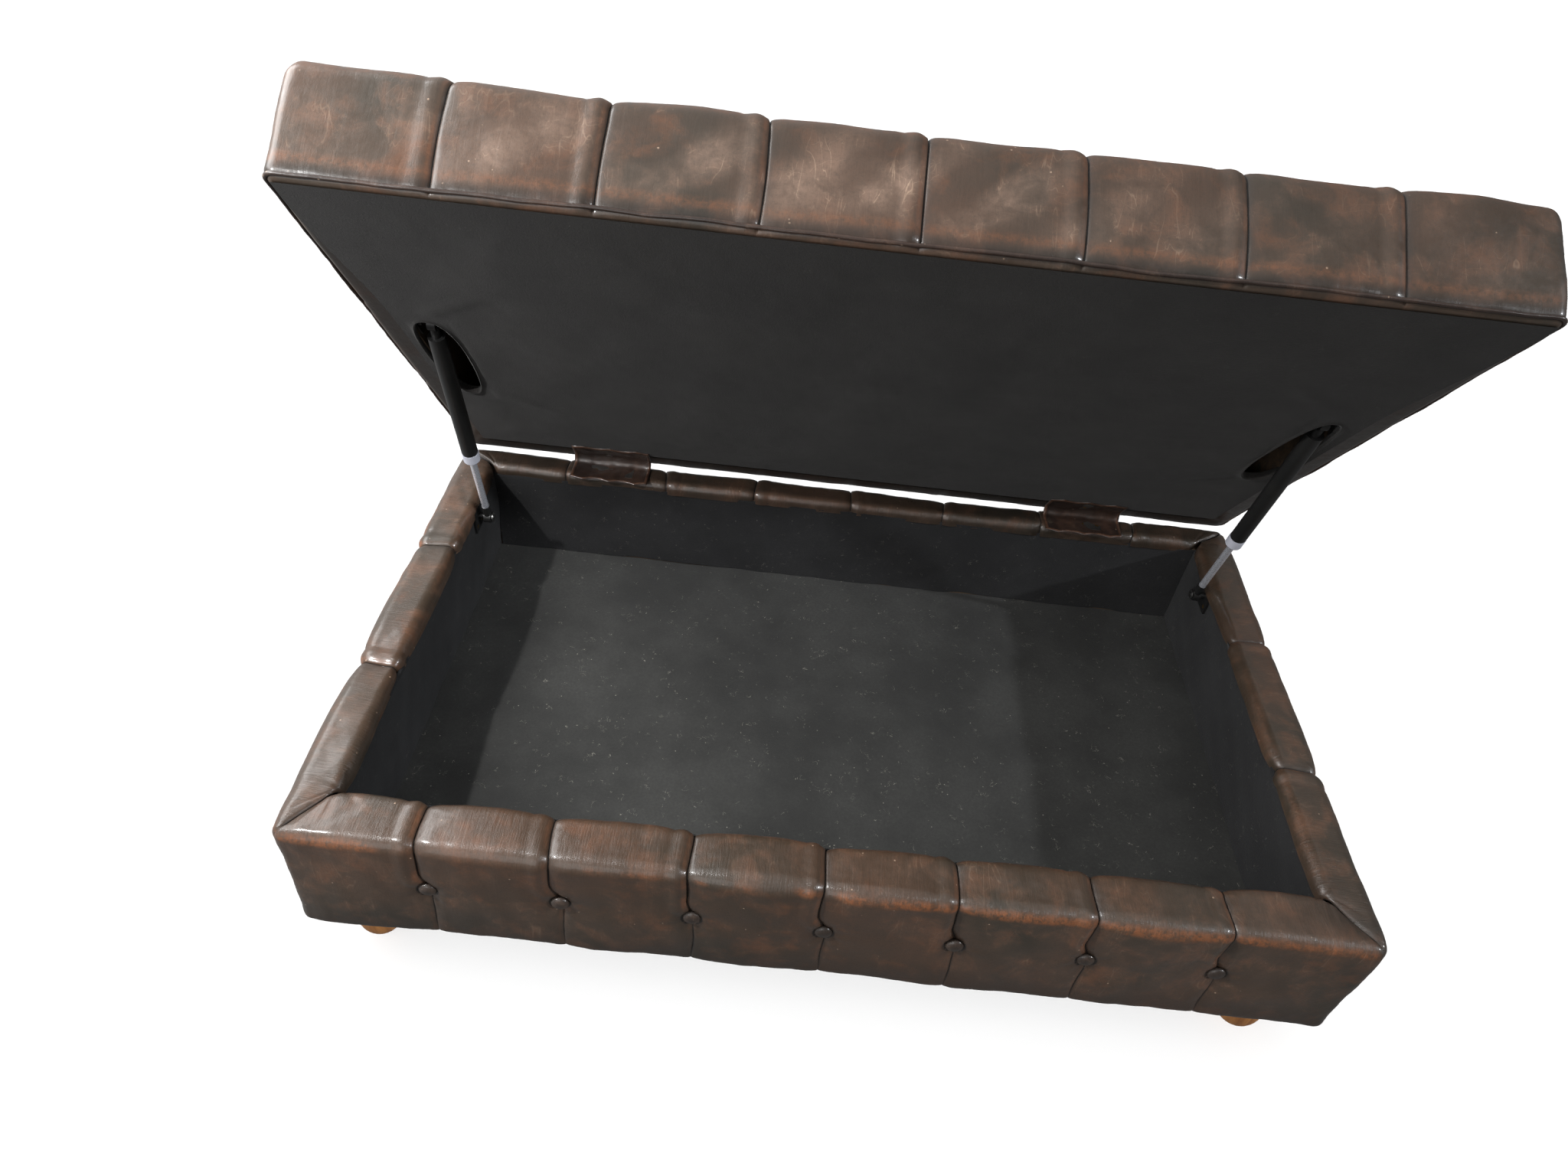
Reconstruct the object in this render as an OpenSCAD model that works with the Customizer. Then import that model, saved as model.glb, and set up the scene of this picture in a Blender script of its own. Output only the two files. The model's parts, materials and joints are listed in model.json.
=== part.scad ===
// Storage ottoman: an upholstered box on turned feet, with a buttoned cushion lid
// on two concealed hinges and two gas struts. The lid stands open.
// Millimetres, +Z up, the front faces -Y, the length runs along X. The origin is on the
// floor, in the middle of the space that the open ottoman takes up.

/* [Overall] */
// Outside length of the box
length = 1220; // [1160:10:1300]
// Outside depth of the box
depth = 728; // [700:4:760]
// Step from the box in to the lid, at the front and the sides
lid_step = 11; // [9:2:13]
// Height of the upholstered box without its feet
box_h = 179; // [170:1:200]
// Height of the feet with their glides
foot_h = 80; // [66:1:100]
// Thickness of the lid with its cushion
lid_t = 135; // [125:1:150]
// Gap between the closed lid and the rails, filled by the hinges and their flaps
lid_gap = 5; // [5:0.5:8]
// Angle at which the struts stop the lid
open_angle = 54; // [45:1:58]

/* [Upholstery] */
// Leather with its interlining
leather = 3; // [2:0.5:4]
// Overall width of the front rail
rail_front = 67; // [60:1:75]
// Overall width of the back rail
rail_back = 48; // [46:1:60]
// Overall width of the two side rails
rail_side = 58; // [52:1:70]
// Outer radius of the padded top edge
edge_r = 25; // [18:1:30]
// Radius of the padded edge towards the tub
inner_r = 14; // [8:1:18]
// Radius of the bottom edge of the box
bottom_r = 14; // [8:1:18]
// Radius of the crowned top edge of the lid
lid_top_r = 35; // [25:1:42]
// Radius of the lower edge of the lid
lid_low_r = 12; // [10:1:14]
// Width of the leather turned under the box and under the lid
turn_under = 45; // [40:1:50]
// Foam over the front and side rails
top_foam = 18; // [12:1:24]
// Foam over the back rail, which the hinges are screwed through
back_top_foam = 12; // [11:1:24]
// Height of the leather band inside the tub, above the lining
tub_band = 16; // [12:1:22]

/* [Woodwork] */
// Thickness of the boards of the box
board = 24; // [18:1:26]
// Thickness of the bottom board
bottom_t = 12.5; // [9:0.5:18]
// Width of the lid's frame rails
lid_rail_w = 30; // [26:1:32]
// Height of the lid's frame rails
lid_rail_h = 70; // [60:1:80]
// Thickness of the lid's deck
deck_t = 12; // [9:1:15]
// Foam on the outside of the lid's frame
lid_side_foam = 11.5; // [8:0.5:14]

/* [Tufting] */
// Spacing of the seven pleats along the front and back
pleat_pitch = 148.5; // [140:0.5:155]
// Spacing of the two pleats on each side
side_pitch = 227; // [200:1:240]
// Diameter of the covered buttons
button_d = 21; // [16:0.5:25]
// How far a button stands proud
button_proud = 4; // [3:0.5:6]

/* [Hinges and flaps] */
// Distance of each hinge from the middle of the length
hinge_x = 371; // [300:1:420]
// Length of a hinge
hinge_len = 70; // [50:1:90]
// Thickness of a hinge leaf
leaf_t = 1.5; // [1.2:0.1:1.5]
// Width of a leather hinge flap
flap_w = 120; // [100:1:130]
// Thickness of a hinge flap
flap_t = 0.8; // [0.6:0.1:0.8]

/* [Gas struts] */
// Distance of each strut from the middle of the length
strut_x = 535; // [532:1:537]
// Distance of the lower pivot from the front
strut_low_y = 586; // [570:1:600]
// Distance of the lower pivot below the rail top
strut_low_drop = 25; // [22:1:30]
// Distance of the upper pivot from the front, lid closed
strut_up_y = 312; // [300:1:330]
// Height of the upper pivot above the lid's underside
strut_up_rise = 12; // [11:1:20]
// Outside diameter of the strut cylinder
cylinder_d = 22; // [18:1:22]
// Diameter of the strut rod
rod_d = 10; // [8:1:10]

/* [Hidden] */
$fn = 48;
hold = 0.5;                       // gap between loose strips in one node
far = 2000;                       // larger than the object
board_in = leather + board;       // from a tub face to the back of its board
lining = leather;                 // thickness of the wall lining
floor_pad = 3.5;                  // thickness of the floor lining
corner_r = 8;                     // radius of the upright corners
half = length / 2;
box_z = foot_h;
rail_z = box_z + box_h;
lid_z = rail_z + lid_gap;
board_z = rail_z - leather - top_foam;
back_board_z = rail_z - leather - back_top_foam;
board_bottom = box_z + leather + bottom_t;
floor_z = board_bottom + floor_pad;
lining_top = rail_z - tub_band;
inner_x = half - rail_side;
inner_front = rail_front;
inner_back = depth - rail_back;
side_board_x = inner_x + board_in;
front_board_y = rail_front - board_in;
back_board_y = depth - rail_back + lining;
back_foam = rail_back - board_in;
button_z = box_z + box_h / 2 + 3;

// Lid, in the closed position
rail_lid_z = lid_z + leather;
lid_half = half - lid_step;
lid_front = lid_step;
lid_depth = depth - lid_front;
lid_turn = 50;                    // inner edge of the leather turned under, from the box's faces
dust_in = 46;                     // edge of the dust cover, from the box's faces
deck_z = rail_lid_z + lid_rail_h;
cushion_z = deck_z + deck_t;
frame_in = leather + lid_side_foam;
rail_in = frame_in + lid_rail_w;
dust_t = 1.4;
slit_w = 54;                      // strut slit in the dust cover, across
slit_x = strut_x - 3;             // its middle
slit_y = [285, 487];              // its ends, from the front

// Hinge
hinge_y = depth - 6;
hinge_z = rail_z + lid_gap / 2;
knuckle_r = 3;
pin_r = 1.5;
run = 0.05;                       // running clearance of pins
knuckles = 5;
leaf_from = 684;
fold_y = hinge_y - 5;
scallops = 3;
scallop_r = flap_w / scallops / 2;
hinge_screw_y = 696;
screw_r = 1.8;
screw_head_r = 3.2;

// Strut
function turned(p, a) = [
    hinge_y + (p[0] - hinge_y) * cos(a) - (p[1] - hinge_z) * sin(a),
    hinge_z + (p[0] - hinge_y) * sin(a) + (p[1] - hinge_z) * cos(a)];
low = [strut_low_y, rail_z - strut_low_drop];
up_closed = [strut_up_y, lid_z + strut_up_rise];
up_open = turned(up_closed, -open_angle);
strut_open = norm(up_open - low);
strut_closed = norm(up_closed - low);
strut_tilt = atan2(low[0] - up_open[0], up_open[1] - low[1]);
stroke = strut_open - strut_closed;
eye_r = 9;
eye_t = 10;
stud_r = 4;
rod_from = 26;                    // from the lower pivot to the rod's shoulder
tube_from = rod_from + stroke + 3;
tube_to = strut_open - 20;
gland = 8;
piston_h = 12;
collar_h = 15;
plate_t = 3;
stud_from = strut_x + cylinder_d / 2 + 1.5;   // upper stud, just past the cylinder's side

// The middle of the open ottoman, from the front face to the back of the open lid
lid_back_y = turned([depth - lid_top_r, lid_z + lid_t - lid_top_r], -open_angle)[0] + lid_top_r;
origin_y = (lid_back_y - button_proud) / 2;

pleat_x = [for (k = [-3:3]) k * pleat_pitch];
side_pleat_y = [for (s = [-1, 1]) depth / 2 + s * side_pitch / 2];
lid_buttons_at = [for (row = [-2:2])
    for (k = [0:(row % 2 == 0 ? 6 : 7)])
        [(k - (row % 2 == 0 ? 3 : 3.5)) * pleat_pitch, depth / 2 + row * side_pitch / 2]];

// ---- placing ----

// Everything is drawn with y counted from the front face
module on_base() {
    translate([0, -origin_y, 0]) children();
}

// Lid pieces are drawn closed and turned open about the hinge axis
module on_lid() {
    on_base()
        translate([0, hinge_y, hinge_z])
            rotate([-open_angle, 0, 0])
                translate([0, -hinge_y, -hinge_z]) children();
}

// Mirrors a right-hand piece to the left
module sided(side) {
    mirror([side < 0 ? 1 : 0, 0, 0]) children();
}

// Strut axis upwards from the lower pivot, side is -1 or 1
module on_strut(side) {
    on_base() sided(side)
        translate([strut_x, low[0], low[1]])
            rotate([strut_tilt, 0, 0]) children();
}

// ---- shared shapes ----

module block(from, to) {
    translate(from) cube(to - from);
}

module rounded_rect(size, r) {
    translate([r, 0]) square([size[0] - 2 * r, size[1]]);
    translate([0, r]) square([size[0], size[1] - 2 * r]);
    for (x = [r, size[0] - r], y = [r, size[1] - r]) translate([x, y]) circle(r);
}

// Section of a padded wall: u from its outer face, v upwards, shrunk by inset
module wall_section(w, inset) {
    ro = edge_r - inset;
    ri = inner_r - inset;
    rb = bottom_r - inset;
    bottom = box_z + inset;
    top = rail_z - inset;
    translate([inset + ro, bottom + rb]) square([w - 2 * inset - ro, top - ro - bottom - rb]);
    translate([inset, bottom + rb]) square([w - 2 * inset, top - ro - bottom - rb]);
    translate([inset + rb, bottom]) square([w - 2 * inset - rb, rb]);
    translate([inset + ro, top - ro]) square([w - 2 * inset - ro - ri, ro]);
    translate([w - inset - ri, top - ro]) square([ri, ro - ri]);
    translate([inset + ro, top - ro]) circle(ro);
    translate([w - inset - ri, top - ri]) circle(ri);
    translate([inset + rb, bottom + rb]) circle(rb);
}

// Room in a wall section for its board and for what lies below it
module board_room(w, top) {
    translate([w - board_in, box_z]) square([far, top - box_z]);
    translate([w - lining, box_z]) square([far, rail_z - box_z - tub_band]);
}

module cover_section(w) {
    difference() {
        wall_section(w, 0);
        wall_section(w, leather);
        translate([turn_under, 0]) square([far, lining_top]);
    }
}

module pad_section(w, top) {
    difference() {
        wall_section(w, leather);
        board_room(w, top);
    }
}

// Plan of one side between the mitres: front, back, left or right
module mitre_plan(side) {
    outer = [[-half, 0], [half, 0], [half, depth], [-half, depth]];
    inner = [[-inner_x, inner_front], [inner_x, inner_front], [inner_x, inner_back], [-inner_x, inner_back]];
    i = side == "front" ? 0 : side == "right" ? 1 : side == "back" ? 2 : 3;
    j = (i + 1) % 4;
    polygon([outer[i], outer[j], inner[j], inner[i]]);
}

// Runs a wall section (child 0) along one side, mitred, with rounded upright corners
module run_wall(side) {
    intersection() {
        if (side == "front")
            rotate([90, 0, 90]) translate([0, 0, -half]) linear_extrude(length) children();
        if (side == "back")
            translate([0, depth, 0]) rotate([90, 0, -90]) translate([0, 0, -half])
                linear_extrude(length) children();
        if (side == "left")
            translate([-half, depth, 0]) rotate([90, 0, 0]) linear_extrude(depth) children();
        if (side == "right")
            translate([half, 0, 0]) rotate([90, 0, 180]) linear_extrude(depth) children();
        linear_extrude(far) mitre_plan(side);
        linear_extrude(far) translate([-half, 0]) rounded_rect([length, depth], corner_r);
    }
}

// Button with its nail, head outwards along +Z, seated at z = 0
module button(nail) {
    dome_r = (pow(button_d / 2, 2) + pow(button_proud, 2)) / (2 * button_proud);
    intersection() {
        translate([0, 0, button_proud - dome_r]) sphere(dome_r);
        cylinder(r = button_d / 2, h = button_proud + 1);
    }
    translate([0, 0, -nail]) cylinder(r = screw_r, h = nail + 1);
}

nail_bite = 10;
nail_front = front_board_y + nail_bite;
nail_side = half - side_board_x + nail_bite;
nail_back = back_foam + nail_bite;

// Children are drawn at every button of the box, +Z outwards, with the nail length in $nail
module at_base_buttons() {
    for (x = pleat_x) {
        translate([x, 0, button_z]) rotate([90, 0, 0]) { $nail = nail_front; children(); }
        translate([x, depth, button_z]) rotate([-90, 0, 0]) { $nail = nail_back; children(); }
    }
    for (y = side_pleat_y, s = [-1, 1])
        translate([s * half, y, button_z]) rotate([0, s * 90, 0]) { $nail = nail_side; children(); }
}

module nail_holes() {
    at_base_buttons() translate([0, 0, -$nail]) cylinder(r = screw_r, h = $nail + 1);
}

module at_lid_buttons() {
    for (p = lid_buttons_at) translate([p[0], p[1], lid_z + lid_t]) children();
}

lid_nail = lid_t - (deck_z - lid_z);

module twine_holes() {
    at_lid_buttons() translate([0, 0, -lid_nail - 1]) cylinder(r = screw_r, h = lid_nail + 2);
}

// Children are drawn at every screw of one set, head at z = 0 and shank along -Z
module at_hinge_screws_base() {
    for (s = [-1, 1], k = [-1:1])
        translate([s * hinge_x + k * 24, hinge_screw_y, rail_z + leaf_t]) children();
}

module at_hinge_screws_lid() {
    for (s = [-1, 1], k = [-1:1])
        translate([s * hinge_x + k * 24, hinge_screw_y, lid_z - leaf_t]) rotate([180, 0, 0]) children();
}

module at_strut_screws_base() {
    for (s = [-1, 1], k = [-1, 1])
        translate([s * (inner_x - plate_t), low[0] + k * 10, low[1] - 13]) rotate([0, -s * 90, 0]) children();
}

module at_strut_screws_lid() {
    for (s = [-1, 1], k = [-1, 1])
        translate([s * (lid_half - rail_in - plate_t), up_closed[0] + k * 12, up_closed[1] + 15])
            rotate([0, -s * 90, 0]) children();
}

module screw(head_t, len) {
    translate([0, 0, -head_t]) cylinder(r = screw_head_r, h = head_t);
    translate([0, 0, -head_t - len]) cylinder(r = screw_r, h = len + 0.5);
}

hinge_screw_len = 24;
strut_screw_len = 18;

module hinge_screw_set() screw(leaf_t, hinge_screw_len);
module strut_screw_set() screw(plate_t, strut_screw_len);

// ---- box ----

foot_in_x = 70;
foot_in_y = 52;
foot_at = [for (s = [-1, 1], t = [foot_in_y, depth - foot_in_y]) [s * (half - foot_in_x), t]];
bolt_r = 4;
bolt_from = 50;

module bolt_holes() {
    for (p = foot_at)
        translate([p[0], p[1], bolt_from]) cylinder(r = bolt_r, h = board_bottom - bolt_from + 1);
}

module bottom_board() {
    color("burlywood") on_base() difference() {
        block([-side_board_x, front_board_y, box_z + leather],
              [side_board_x, depth - back_foam, board_bottom]);
        bolt_holes();
    }
}

module front_board() {
    color("burlywood") on_base() difference() {
        block([-side_board_x, front_board_y, board_bottom],
              [side_board_x, front_board_y + board, board_z]);
        nail_holes();
    }
}

module back_board() {
    color("burlywood") on_base() difference() {
        block([-inner_x - lining, back_board_y, board_bottom],
              [inner_x + lining, back_board_y + board, back_board_z]);
        nail_holes();
        at_hinge_screws_base() hinge_screw_set();
    }
}

module side_board(side) {
    color("burlywood") on_base() difference() {
        sided(side)
            block([inner_x + lining, front_board_y + board, board_bottom],
                  [side_board_x, depth - back_foam, board_z]);
        nail_holes();
        at_strut_screws_base() strut_screw_set();
    }
}

module left_board() side_board(-1);
module right_board() side_board(1);

module pad(side, w, top) {
    color("palegoldenrod") on_base() difference() {
        run_wall(side) pad_section(w, top);
        nail_holes();
        at_hinge_screws_base() hinge_screw_set();
    }
}

module front_pad() pad("front", rail_front, board_z);
module back_pad() pad("back", rail_back, back_board_z);
module left_pad() pad("left", rail_side, board_z);
module right_pad() pad("right", rail_side, board_z);

module cover(side, w) {
    color([0.24, 0.11, 0.06]) on_base() difference() {
        run_wall(side) cover_section(w);
        nail_holes();
        at_hinge_screws_base() hinge_screw_set();
        at_strut_screws_base() strut_screw_set();
    }
}

module front_cover() cover("front", rail_front);
module back_cover() cover("back", rail_back);
module left_cover() cover("left", rail_side);
module right_cover() cover("right", rail_side);

module base_buttons() {
    color([0.16, 0.1, 0.06]) on_base() at_base_buttons() button($nail);
}

module front_lining() {
    color([0.1, 0.1, 0.11]) on_base()
        block([-inner_x, inner_front - lining, floor_z], [inner_x, inner_front, lining_top]);
}

module back_lining() {
    color([0.1, 0.1, 0.11]) on_base()
        block([-inner_x, inner_back, floor_z], [inner_x, inner_back + lining, lining_top]);
}

module side_lining(side) {
    color([0.1, 0.1, 0.11]) on_base() difference() {
        sided(side)
            block([inner_x, inner_front - lining, floor_z],
                [inner_x + lining, inner_back + lining, lining_top]);
        at_strut_screws_base() strut_screw_set();
    }
}

module left_lining() side_lining(-1);
module right_lining() side_lining(1);

module floor_lining() {
    color([0.3, 0.3, 0.31]) on_base()
        block([-inner_x - lining, inner_front - lining, board_bottom],
              [inner_x + lining, inner_back + lining, floor_z]);
}

module base_dust_cover() {
    color([0.08, 0.08, 0.08]) on_base() difference() {
        block([turn_under - half, turn_under, box_z + leather - dust_t],
              [half - turn_under, depth - turn_under, box_z + leather]);
        bolt_holes();
    }
}

// Turned bun foot: a bulb, a neck and a flat cap
glide_h = 3;
cap_h = 12;
neck_h = 5;
bulb_r = 29;
bulb_h = foot_h - glide_h - cap_h - neck_h;

module foot(i) {
    bulb = [for (a = [-75:10:75])
        [bulb_r * (0.4 + 0.6 * cos(a)), glide_h + bulb_h / 2 * (1 + sin(a) / sin(75))]];
    color([0.72, 0.47, 0.24]) on_base() difference() {
        translate([foot_at[i][0], foot_at[i][1], 0]) rotate_extrude()
            polygon(concat([[0, glide_h]], bulb,
                [[bulb_r * 0.62, foot_h - cap_h - neck_h], [bulb_r * 0.62, foot_h - cap_h],
                 [bulb_r * 0.9, foot_h - cap_h], [bulb_r * 0.9, foot_h], [0, foot_h]]));
        bolt_holes();
    }
}

module foot_front_left() foot(0);
module foot_back_left() foot(1);
module foot_front_right() foot(2);
module foot_back_right() foot(3);

module foot_bolts() {
    color("silver") on_base() for (p = foot_at)
        translate([p[0], p[1], bolt_from]) cylinder(r = bolt_r, h = board_bottom - bolt_from);
}

module foot_glides() {
    color([0.2, 0.2, 0.2]) on_base() for (p = foot_at)
        translate([p[0], p[1], 0]) cylinder(r = 11, h = glide_h);
}

// ---- hinges ----

// One leaf: its plate lies on a face at height z, thickness towards up (1) or down (-1)
module hinge_leaf(up, first, bore) {
    pitch = hinge_len / knuckles;
    z = up > 0 ? rail_z : lid_z - leaf_t;
    for (k = [first:2:knuckles - 1])
        translate([k * pitch - hinge_len / 2 + 0.15, 0, 0]) difference() {
            union() {
                translate([0, hinge_y, hinge_z]) rotate([0, 90, 0]) cylinder(r = knuckle_r, h = pitch - 0.3);
                block([0, hinge_y - knuckle_r - 2, z], [pitch - 0.3, hinge_y, z + leaf_t]);
            }
            translate([-1, hinge_y, hinge_z]) rotate([0, 90, 0]) cylinder(r = bore, h = pitch + 2);
        }
    block([-hinge_len / 2, leaf_from, z], [hinge_len / 2, hinge_y - knuckle_r - 0.5, z + leaf_t]);
}

module hinge_base_leaves() {
    color("silver") on_base() difference() {
        for (s = [-1, 1]) translate([s * hinge_x, 0, 0]) hinge_leaf(1, 0, pin_r);
        at_hinge_screws_base() hinge_screw_set();
    }
}

module hinge_lid_leaves() {
    color("silver") on_lid() difference() {
        for (s = [-1, 1]) translate([s * hinge_x, 0, 0]) hinge_leaf(-1, 1, pin_r + run);
        at_hinge_screws_lid() hinge_screw_set();
    }
}

module hinge_pins() {
    color("silver") on_base() for (s = [-1, 1])
        translate([s * hinge_x - hinge_len / 2, hinge_y, hinge_z]) rotate([0, 90, 0])
            cylinder(r = pin_r, h = hinge_len);
}

// Half of a leather flap, from its fold to three scallops
module flap_half(z) {
    translate([0, 0, z]) linear_extrude(flap_t) {
        translate([-flap_w / 2, fold_y - 25]) square([flap_w, 25]);
        for (k = [-1:1]) translate([k * 2 * scallop_r, fold_y - 25]) circle(scallop_r);
    }
}

module hinge_flaps_base() {
    color([0.3, 0.13, 0.07]) on_base() for (s = [-1, 1])
        translate([s * hinge_x, 0, 0]) flap_half(rail_z + leaf_t);
}

module hinge_flaps_lid() {
    color([0.3, 0.13, 0.07]) on_lid() for (s = [-1, 1])
        translate([s * hinge_x, 0, 0]) flap_half(lid_z - leaf_t - flap_t);
}

// ---- lid, drawn closed ----

module lid_profile(w, inset) {
    rt = lid_top_r - inset;
    rl = lid_low_r - inset;
    h = lid_t - 2 * inset;
    translate([inset, lid_z + inset]) {
        translate([0, rl]) square([w - 2 * inset, h - rl - rt]);
        translate([rl, 0]) square([w - 2 * inset - 2 * rl, rl]);
        translate([rt, h - rt]) square([w - 2 * inset - 2 * rt, rt]);
        for (x = [rl, w - 2 * inset - rl]) translate([x, rl]) circle(rl);
        for (x = [rt, w - 2 * inset - rt]) translate([x, h - rt]) circle(rt);
    }
}

// The lid's outer shape, shrunk by inset
module lid_block(inset) {
    intersection() {
        translate([-lid_half, lid_front, 0]) rotate([90, 0, 90])
            linear_extrude(2 * lid_half) lid_profile(lid_depth, inset);
        translate([-lid_half, depth, 0]) rotate([90, 0, 0])
            linear_extrude(lid_depth) lid_profile(2 * lid_half, inset);
        linear_extrude(far) translate([inset - lid_half, lid_front + inset])
            rounded_rect([2 * (lid_half - inset), lid_depth - 2 * inset], corner_r - inset);
    }
}

module lid_long_rail(y) {
    difference() {
        block([frame_in - lid_half, y, rail_lid_z], [lid_half - frame_in, y + lid_rail_w, deck_z]);
        at_hinge_screws_lid() hinge_screw_set();
    }
}

module lid_front_rail() {
    color("burlywood") on_lid() lid_long_rail(lid_front + frame_in);
}

module lid_back_rail() {
    color("burlywood") on_lid() lid_long_rail(depth - rail_in);
}

module lid_side_rail(side) {
    color("burlywood") on_lid() difference() {
        sided(side) block([lid_half - rail_in, lid_front + rail_in, rail_lid_z],
                          [lid_half - frame_in, depth - rail_in, deck_z]);
        at_strut_screws_lid() strut_screw_set();
    }
}

module lid_left_rail() lid_side_rail(-1);
module lid_right_rail() lid_side_rail(1);

module lid_cross_rail() {
    color("burlywood") on_lid()
        block([-30, lid_front + rail_in, deck_z - 40], [30, depth - rail_in, deck_z]);
}

module lid_deck() {
    color("wheat") on_lid() difference() {
        block([frame_in - lid_half, lid_front + frame_in, deck_z],
              [lid_half - frame_in, depth - frame_in, cushion_z]);
        twine_holes();
    }
}

module lid_foam() {
    color("palegoldenrod") on_lid() difference() {
        lid_block(leather);
        block([-far, -far, 0], [far, far, cushion_z]);
        twine_holes();
    }
}

// Foam strips round the frame
module lid_border() {
    color("palegoldenrod") on_lid() difference() {
        lid_block(leather);
        block([-far, -far, cushion_z], [far, far, far]);
        block([frame_in - lid_half, lid_front + frame_in, 0], [lid_half - frame_in, depth - frame_in, far]);
        for (s = [-1, 1], y = [lid_front + frame_in - hold, depth - frame_in])
            block([min(s * (lid_half - frame_in), s * lid_half), y, 0],
                  [max(s * (lid_half - frame_in), s * lid_half), y + hold, far]);
    }
}

module lid_cover() {
    color([0.24, 0.11, 0.06]) on_lid() difference() {
        lid_block(0);
        lid_block(leather);
        block([lid_turn - half, lid_turn, 0], [half - lid_turn, depth - lid_turn, rail_lid_z + 1]);
        twine_holes();
        at_hinge_screws_lid() hinge_screw_set();
        piping_path(piping_r);
    }
}

piping_r = 3;
piping_in = 1.6;
piping_z = lid_z + 6;

// A welt of radius r round the lower edge of the lid
module piping_path(r) {
    bend = corner_r + 2;
    for (s = [0, 1]) {
        translate([bend - lid_half, s ? depth - piping_in : lid_front + piping_in, piping_z])
            rotate([0, 90, 0]) cylinder(r = r, h = 2 * (lid_half - bend));
        translate([s ? lid_half - piping_in : piping_in - lid_half, lid_front + bend, piping_z])
            rotate([-90, 0, 0]) cylinder(r = r, h = lid_depth - 2 * bend);
    }
    for (c = [[1, 1, 0], [-1, 1, 90], [-1, -1, 180], [1, -1, 270]])
        translate([c[0] * (lid_half - bend), c[1] > 0 ? depth - bend : lid_front + bend, piping_z])
            rotate([0, 0, c[2]]) rotate_extrude(angle = 90) translate([bend - piping_in, 0]) circle(r);
}

module lid_piping() {
    color([0.34, 0.18, 0.1]) on_lid() difference() {
        piping_path(piping_r);
        lid_block(leather);
    }
}

module lid_buttons() {
    color([0.2, 0.1, 0.06]) on_lid() at_lid_buttons() button(lid_nail);
}

module lid_dust_cover() {
    color([0.09, 0.09, 0.1]) on_lid() difference() {
        block([dust_in - half, dust_in, lid_z - dust_t], [half - dust_in, depth - dust_in, lid_z]);
        for (s = [-1, 1])
            translate([s * slit_x - slit_w / 2, slit_y[0], 0])
                linear_extrude(far) rounded_rect([slit_w, slit_y[1] - slit_y[0]], 12);
    }
}

// ---- gas struts ----

module bracket_plate(x, c, size) {
    block([x - plate_t, c[0] - size[0] / 2, c[1] - size[1]], [x, c[0] + size[0] / 2, c[1] + size[2]]);
}

module strut_base_brackets() {
    color([0.12, 0.12, 0.12]) on_base() difference() {
        for (s = [-1, 1]) sided(s) {
            bracket_plate(inner_x, low, [34, 22, 14]);
            translate([strut_x - eye_t / 2 - 4, low[0], low[1]]) rotate([0, 90, 0])
                cylinder(r = stud_r, h = inner_x - strut_x + eye_t / 2 + 3);
        }
        at_strut_screws_base() strut_screw_set();
    }
}

module strut_lid_brackets() {
    x = lid_half - rail_in;
    color([0.12, 0.12, 0.12]) on_lid() difference() {
        for (s = [-1, 1]) sided(s) {
            bracket_plate(x, up_closed, [40, 6, 26]);
            translate([stud_from, up_closed[0], up_closed[1]]) rotate([0, 90, 0])
                cylinder(r = stud_r, h = x - stud_from - 1);
        }
        at_strut_screws_lid() strut_screw_set();
    }
}

module base_screws() {
    color("goldenrod") on_base() {
        at_hinge_screws_base() hinge_screw_set();
        at_strut_screws_base() strut_screw_set();
    }
}

module lid_screws() {
    color("goldenrod") on_lid() {
        at_hinge_screws_lid() hinge_screw_set();
        at_strut_screws_lid() strut_screw_set();
    }
}

// An eye across X with a shank of the given length along +Z or -Z
module eye(bore, shank, dir) {
    difference() {
        union() {
            rotate([0, 90, 0]) cylinder(r = eye_r, h = eye_t, center = true);
            translate([0, 0, dir > 0 ? 0 : -shank]) cylinder(r = 6, h = shank);
        }
        rotate([0, 90, 0]) cylinder(r = bore, h = eye_t + 4, center = true);
    }
}

module rod(side) {
    color([0.85, 0.85, 0.87]) on_strut(side) {
        translate([0, 0, rod_from]) cylinder(d = rod_d, h = tube_from + gland + 4 - rod_from);
        translate([0, 0, tube_from + gland + 2]) cylinder(d = cylinder_d - 4, h = piston_h);
    }
}

module rod_end(side) {
    color([0.12, 0.12, 0.12]) on_strut(side) eye(stud_r + run, rod_from, 1);
}

// Retaining ring on the lower stud
module clip(side) {
    color("silver") on_base() sided(side)
        translate([strut_x - eye_t / 2 - 3, low[0], low[1]]) rotate([0, 90, 0]) difference() {
            cylinder(r = stud_r + 2.5, h = 1.5);
            translate([0, 0, -1]) cylinder(r = stud_r, h = 4);
        }
}

module strut_cylinder(side) {
    color([0.08, 0.08, 0.08]) on_strut(side) difference() {
        translate([0, 0, tube_from]) cylinder(d = cylinder_d, h = tube_to - tube_from);
        translate([0, 0, tube_from + gland])
            cylinder(d = cylinder_d - 3, h = tube_to - tube_from - gland - 4);
        translate([0, 0, tube_from - 1]) cylinder(d = rod_d + 4 * run, h = gland + 2);
    }
}

module collar(side) {
    color([0.75, 0.75, 0.77]) on_strut(side)
        translate([0, 0, tube_from + 1]) difference() {
            cylinder(d = cylinder_d + 1, h = collar_h);
            translate([0, 0, -1]) cylinder(d = cylinder_d, h = collar_h + 2);
        }
}

module cylinder_end(side) {
    color([0.12, 0.12, 0.12]) on_strut(side)
        translate([0, 0, strut_open]) eye(stud_r + 0.5, strut_open - tube_to, -1);
}

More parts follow.
